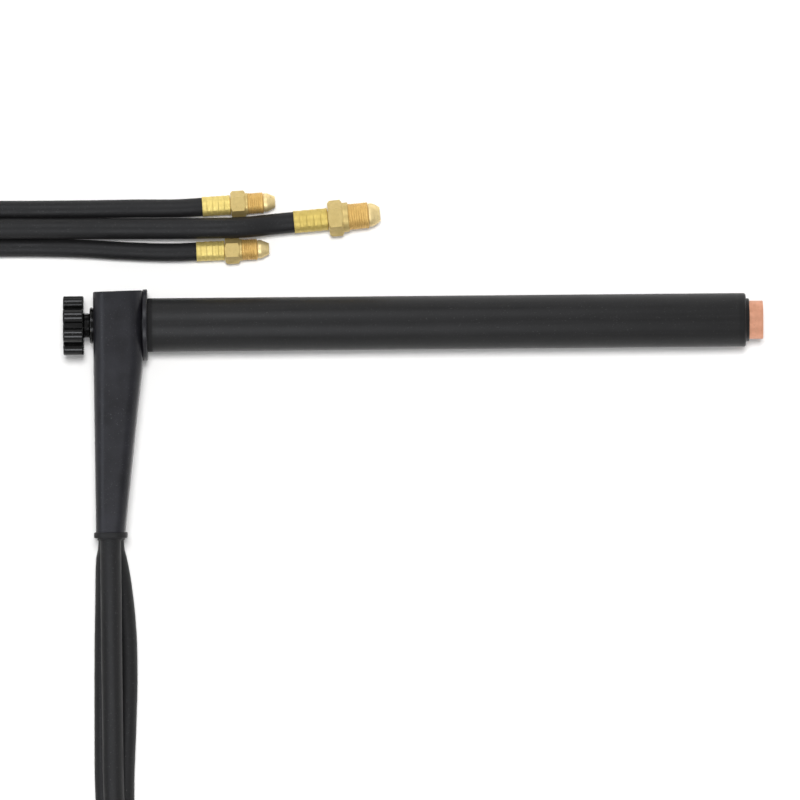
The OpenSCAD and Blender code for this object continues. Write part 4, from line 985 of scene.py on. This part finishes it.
class HOLDER_OT_nose(bpy.types.Operator):
    """Copper nose with its screwed socket, and the insulator round it"""
    bl_idname = "holder.nose"
    bl_label = "Nose"

    def execute(self, context):
        n, spigot, recess = 120, JACKET_BORE_R - FIT, NOSE_BACK + RECESS_LEN
        outer = rounded_loop([(NOSE_BACK, RECESS_R), (NOSE_BACK, spigot), (NOSE_SHOULDER, spigot),
                              (NOSE_SHOULDER, NOSE_R), (NOSE_TIP, NOSE_R), (NOSE_TIP, SOCKET_R + 0.7)],
                             [0.2, 0.4, 0.1, 0.3, 0.6, 0.1], 6)
        tx, tr = thread_rows(NOSE_TIP - 0.7, SOCKET_FLOOR + 0.8, SOCKET_R + 0.5, SOCKET_PITCH, 0.5, n)
        throat = SOCKET_FLOOR - THROAT_LEN
        inner = np.array([(SOCKET_FLOOR, SOCKET_R), (SOCKET_FLOOR, THROAT_R), (throat, THROAT_R),
                          (throat - CONE_LEN, CONE_R), (recess, CONE_R), (recess, RECESS_R)])
        nose = turned_rows([outer.T, (tx, tr), inner.T], n)
        closed_piece(nose, "copper_nose", "copper", "nose_body", sharp=34)
        inside, outside, mouth = JACKET_R + FIT, BARREL_BORE_R - FIT, NOSE_R + FIT
        seat = turned_loop([(INSULATOR_BACK, inside), (INSULATOR_BACK, outside), (INSULATOR_TIP, outside),
                            (INSULATOR_TIP, mouth), (NOSE_SHOULDER, mouth), (NOSE_SHOULDER, inside)],
                           [0.1, 0.2, 0.6, 0.2, 0.1, 0.1], n, 5)
        closed_piece(seat, "nose_insulator", "phenolic", "front_insulator")
        return {"FINISHED"}


class HOLDER_OT_handle(bpy.types.Operator):
    """Two moulded halves, the ring round the end and the rubber grommet"""
    bl_idname = "holder.handle"
    bl_label = "Handle"

    def execute(self, context):
        self.half("handle_shell_upper", "handle_upper", 1)
        self.half("handle_shell_lower", "handle_lower", -1)
        self.ring()
        self.grommet()
        return {"FINISHED"}

    @staticmethod
    def stations(wall, end_wall):
        """Height, middle, width, depth and corner of the handle's sections from its top edge to its end: a
        quarter circle, the plain head, the taper head + (neck - head) k with k = s + bulge sin(pi s) (1 - s),
        and the plain neck."""
        top, mid = HEAD_TOP - wall, (FRONT_X + REAR_X) / 2
        head = np.array([mid, FRONT_X - REAR_X - 2 * wall, HEAD_DEPTH - 2 * wall, HEAD_CORNER - wall])
        neck = np.array([NECK_X, NECK_W - 2 * end_wall, NECK_DEPTH - 2 * end_wall, NECK_CORNER - end_wall])
        edge = size_of("top_edge") if wall == 0 else INNER_EDGE
        inset = edge * (1 - np.sin(QUARTER))
        down, share = np.linspace(0, 1, 10)[1:], np.linspace(0, 1, 25)[1:]
        end = np.array([0.35, 0.7, 1.0])
        k = share + TAPER_BULGE * np.sin(share * math.pi) * (1 - share)
        y = np.concatenate([top - edge * (1 - np.cos(QUARTER)), top - edge - down * (HEAD_DROP + top - edge),
                            -HEAD_DROP - share * (TAPER_END - HEAD_DROP),
                            -TAPER_END - end * (HANDLE_END - TAPER_END)])
        rows = np.concatenate([head - inset[:, None] * [0, 2, 2, 1], np.tile(head, (len(down), 1)),
                               head + (neck - head) * k[:, None], np.tile(neck, (len(end), 1))])
        return y, *rows.T

    def half(self, name, node, side):
        """Half outlines lofted from the top's middle line over the edge and down the outside, then the same
        inside, and the flat strips where the two halves meet."""
        seam = size_of("seam") / 2
        rise = size_of("top_rise") / (FRONT_X - REAR_X)
        faces = []
        for wall, end_wall, chamfer in ((0.0, 0.0, SEAM_CHAMFER), (HEAD_WALL, NECK_WALL, 0.0)):
            y, mid, w, depth, r = self.stations(wall, end_wall)
            line = outline(w, depth, r)[0]
            line = line[:, : line.shape[1] // 2]
            first, last = line[:, :1] * [1, 0], line[:, -1:] * [1, 0]
            line = np.concatenate([first - [chamfer, 0], first + [0, chamfer], line,
                                   last + [0, chamfer], last + [chamfer, 0]], 1)
            line[..., 1] = np.maximum(line[..., 1], seam)
            high = np.clip((y + HEAD_DROP) / (HEAD_TOP + HEAD_DROP), 0, 1)[:, None]
            lift = high * (TOP_LIFT + rise * line[..., 0])
            layers = np.stack([mid[:, None] + line[..., 0], y[:, None] + lift, side * line[..., 1]], -1)
            lid = layers[:1].copy()
            lid[..., 2] = side * seam
            faces.append(np.concatenate([lid, layers]))
        outer, inner = faces
        skin = Skin().grid(np.concatenate([outer, inner[::-1]]))
        for edge in (0, -1):
            skin.grid(np.stack([outer[:, edge], inner[:, edge]], 1))
        skin.grid(np.stack([outer[0], inner[0]], 0))
        skin.piece(name, "handle_shell", [node], sharp=32)

    def ring(self):
        """A bead carried round the end's outline: P = outline + normal * d(t), height y(t)."""
        base, normal = outline(NECK_W, NECK_DEPTH, NECK_CORNER)
        low = -HANDLE_END - RING_DROP
        top = low + RING_LEN
        bead = rounded_loop([(FIT, low), (RING_T, low), (RING_T, top), (FIT, top)], [0.1, 0.7, 0.7, 0.1], 8)
        points = at_neck(base[None] + normal[None] * bead[:, None, :1], bead[:, 1])
        closed_piece(points, "end_ring_bead", "black_rubber", "end_ring")

    def grommet(self):
        """A plug with a rounded lower edge, drawn in by a quarter circle, and a lip round each hose."""
        wall, top, low = NECK_WALL + FIT, -HANDLE_END + GROMMET_IN, -HANDLE_END - GROMMET_OUT
        edge, turn = low + GROMMET_EDGE, QUARTER[1:]
        y = np.concatenate([[top, edge], edge - GROMMET_EDGE * np.sin(turn)])
        inset = wall + np.concatenate([[0, 0], GROMMET_EDGE * (1 - np.cos(turn))])
        layers = at_neck(outline(NECK_W - 2 * inset, NECK_DEPTH - 2 * inset, NECK_CORNER - inset)[0], y)
        skin = Skin().grid(layers, wrap_v=True).cap(layers[0]).cap(layers[-1])
        for hose in HOSES.values():
            r, back, lip = hose["r"], low + 0.6, low - 0.5
            loop = turned_loop([(back, r + 0.02), (back, r + 0.62), (lip, r + 0.5), (lip, r + 0.02)],
                               [0.05, 0.1, 0.2, 0.1], 40, 4)
            skin.grid(down_handle(loop, hose["at"]), True, True)
        skin.piece("grommet_moulded", "black_rubber", ["hose_grommet"])


class HOLDER_OT_knob(bpy.types.Operator):
    """Lobed knob with its hub, and the gland behind the handle"""
    bl_idname = "holder.knob"
    bl_label = "Knob"

    def execute(self, context):
        self.knob()
        gland = turned_loop([(GLAND_BACK, GLAND_BORE_R), (GLAND_BACK, GLAND_R), (GLAND_STEP, GLAND_R),
                             (GLAND_STEP, GLAND_NECK_R), (REAR_X, GLAND_NECK_R), (REAR_X, GLAND_SEAT_R),
                             (GLAND_SEAT, GLAND_SEAT_R), (GLAND_SEAT, GLAND_BORE_R)],
                            [0.2, 0.7, 0.2, 0.1, 0.1, 0.1, 0.05, 0.1], 96, 5)
        closed_piece(gland, "gland_nut", "knob_plastic", "rear_gland")
        return {"FINISHED"}

    def knob(self):
        """Rim r(a) = (root^26 + lobe(a)^26)^(1/26), a soft maximum, where lobe(a) is the far side of a circle
        set out from the axis. Its edges are quarter circles, and a dished back and the hub close it."""
        n, step, soft, edge = 240, TAU / KNOB_LOBES, 26, size_of("knob_edge")
        off = np.arange(n) * TAU / n % step - step / 2
        aside = LOBE_AT * np.sin(off)
        lobe = LOBE_AT * np.cos(off) + np.sqrt(np.maximum(LOBE_R ** 2 - aside ** 2, 0))
        lobe = np.where(np.abs(aside) < LOBE_R, lobe, 0.0)
        rim = (KNOB_ROOT_R ** soft + lobe ** soft) ** (1 / soft)
        back, front, hub = KNOB_BACK, KNOB_FRONT, HUB_FRONT
        late, early = edge * (1 - np.cos(QUARTER)), edge * (1 - np.sin(QUARTER))
        rows = [(back + 0.7, 0.0), (back + 0.7, 8.6), (back + 0.5, 9.3), (back, 9.9),
                (back, np.minimum(rim - edge, 12.0)), (back + late, rim - early[:, None]),
                (front - early, rim - late[:, None]), (front, 8.6), (front + 0.3, 7.8), (front + 0.9, HUB_R),
                (hub - 0.5, HUB_R), (hub - 0.15, 7.35), (hub, 7.0), (hub, SCREW_R), (back + 3.5, SCREW_R),
                (back + 3.5, 0.0)]
        skin = Skin().grid(turned_rows(rows, n), wrap_v=True)
        skin.piece("lobed_knob", "knob_plastic", ["knob"], body="knob_set", sharp=34)


class HOLDER_OT_inner(bpy.types.Operator):
    """Finishes of the pieces that stay as the solid model has them"""
    bl_idname = "holder.inner"
    bl_label = "Inner Pieces"

    def execute(self, context):
        slots = {p["node"]: p["material_slot"] for p in frame["record"]["subparts"]}
        for name, obj in NODES.items():
            obj.data.materials.clear()
            obj.data.materials.append(FINISH[slots[name]])
        return {"FINISHED"}


STEPS = (HOLDER_OT_stage, HOLDER_OT_hoses, HOLDER_OT_straps, HOLDER_OT_hose_ends, HOLDER_OT_barrel,
         HOLDER_OT_nose, HOLDER_OT_handle, HOLDER_OT_knob, HOLDER_OT_inner)
SETTINGS = {"holder_colours": HolderColours, "holder_sizes": HolderSizes, "holder_stage": HolderStage}


class HOLDER_PT_panel(bpy.types.Panel):
    """Settings and steps of the holder"""
    bl_idname = "HOLDER_PT_panel"
    bl_label = "Electrode Holder"
    bl_space_type = "VIEW_3D"
    bl_region_type = "UI"
    bl_category = "Holder"

    def draw(self, context):
        for key, kind in SETTINGS.items():
            box = self.layout.box()
            for setting in kind.__annotations__:
                box.prop(getattr(context.scene, key), setting)
        for step in STEPS:
            self.layout.operator(step.bl_idname)


def register():
    for kind in (*SETTINGS.values(), *STEPS, HOLDER_PT_panel):
        bpy.utils.register_class(kind)
    for key, kind in SETTINGS.items():
        setattr(bpy.types.Scene, key, bpy.props.PointerProperty(type=kind))


def unregister():
    for key in SETTINGS:
        delattr(bpy.types.Scene, key)
    for kind in (HOLDER_PT_panel, *reversed(STEPS), *reversed(list(SETTINGS.values()))):
        bpy.utils.unregister_class(kind)


def main():
    register()
    for step in STEPS:
        family, action = step.bl_idname.split(".")
        getattr(getattr(bpy.ops, family), action)()
    bpy.context.view_layer.update()


if __name__ == "__main__":
    main()
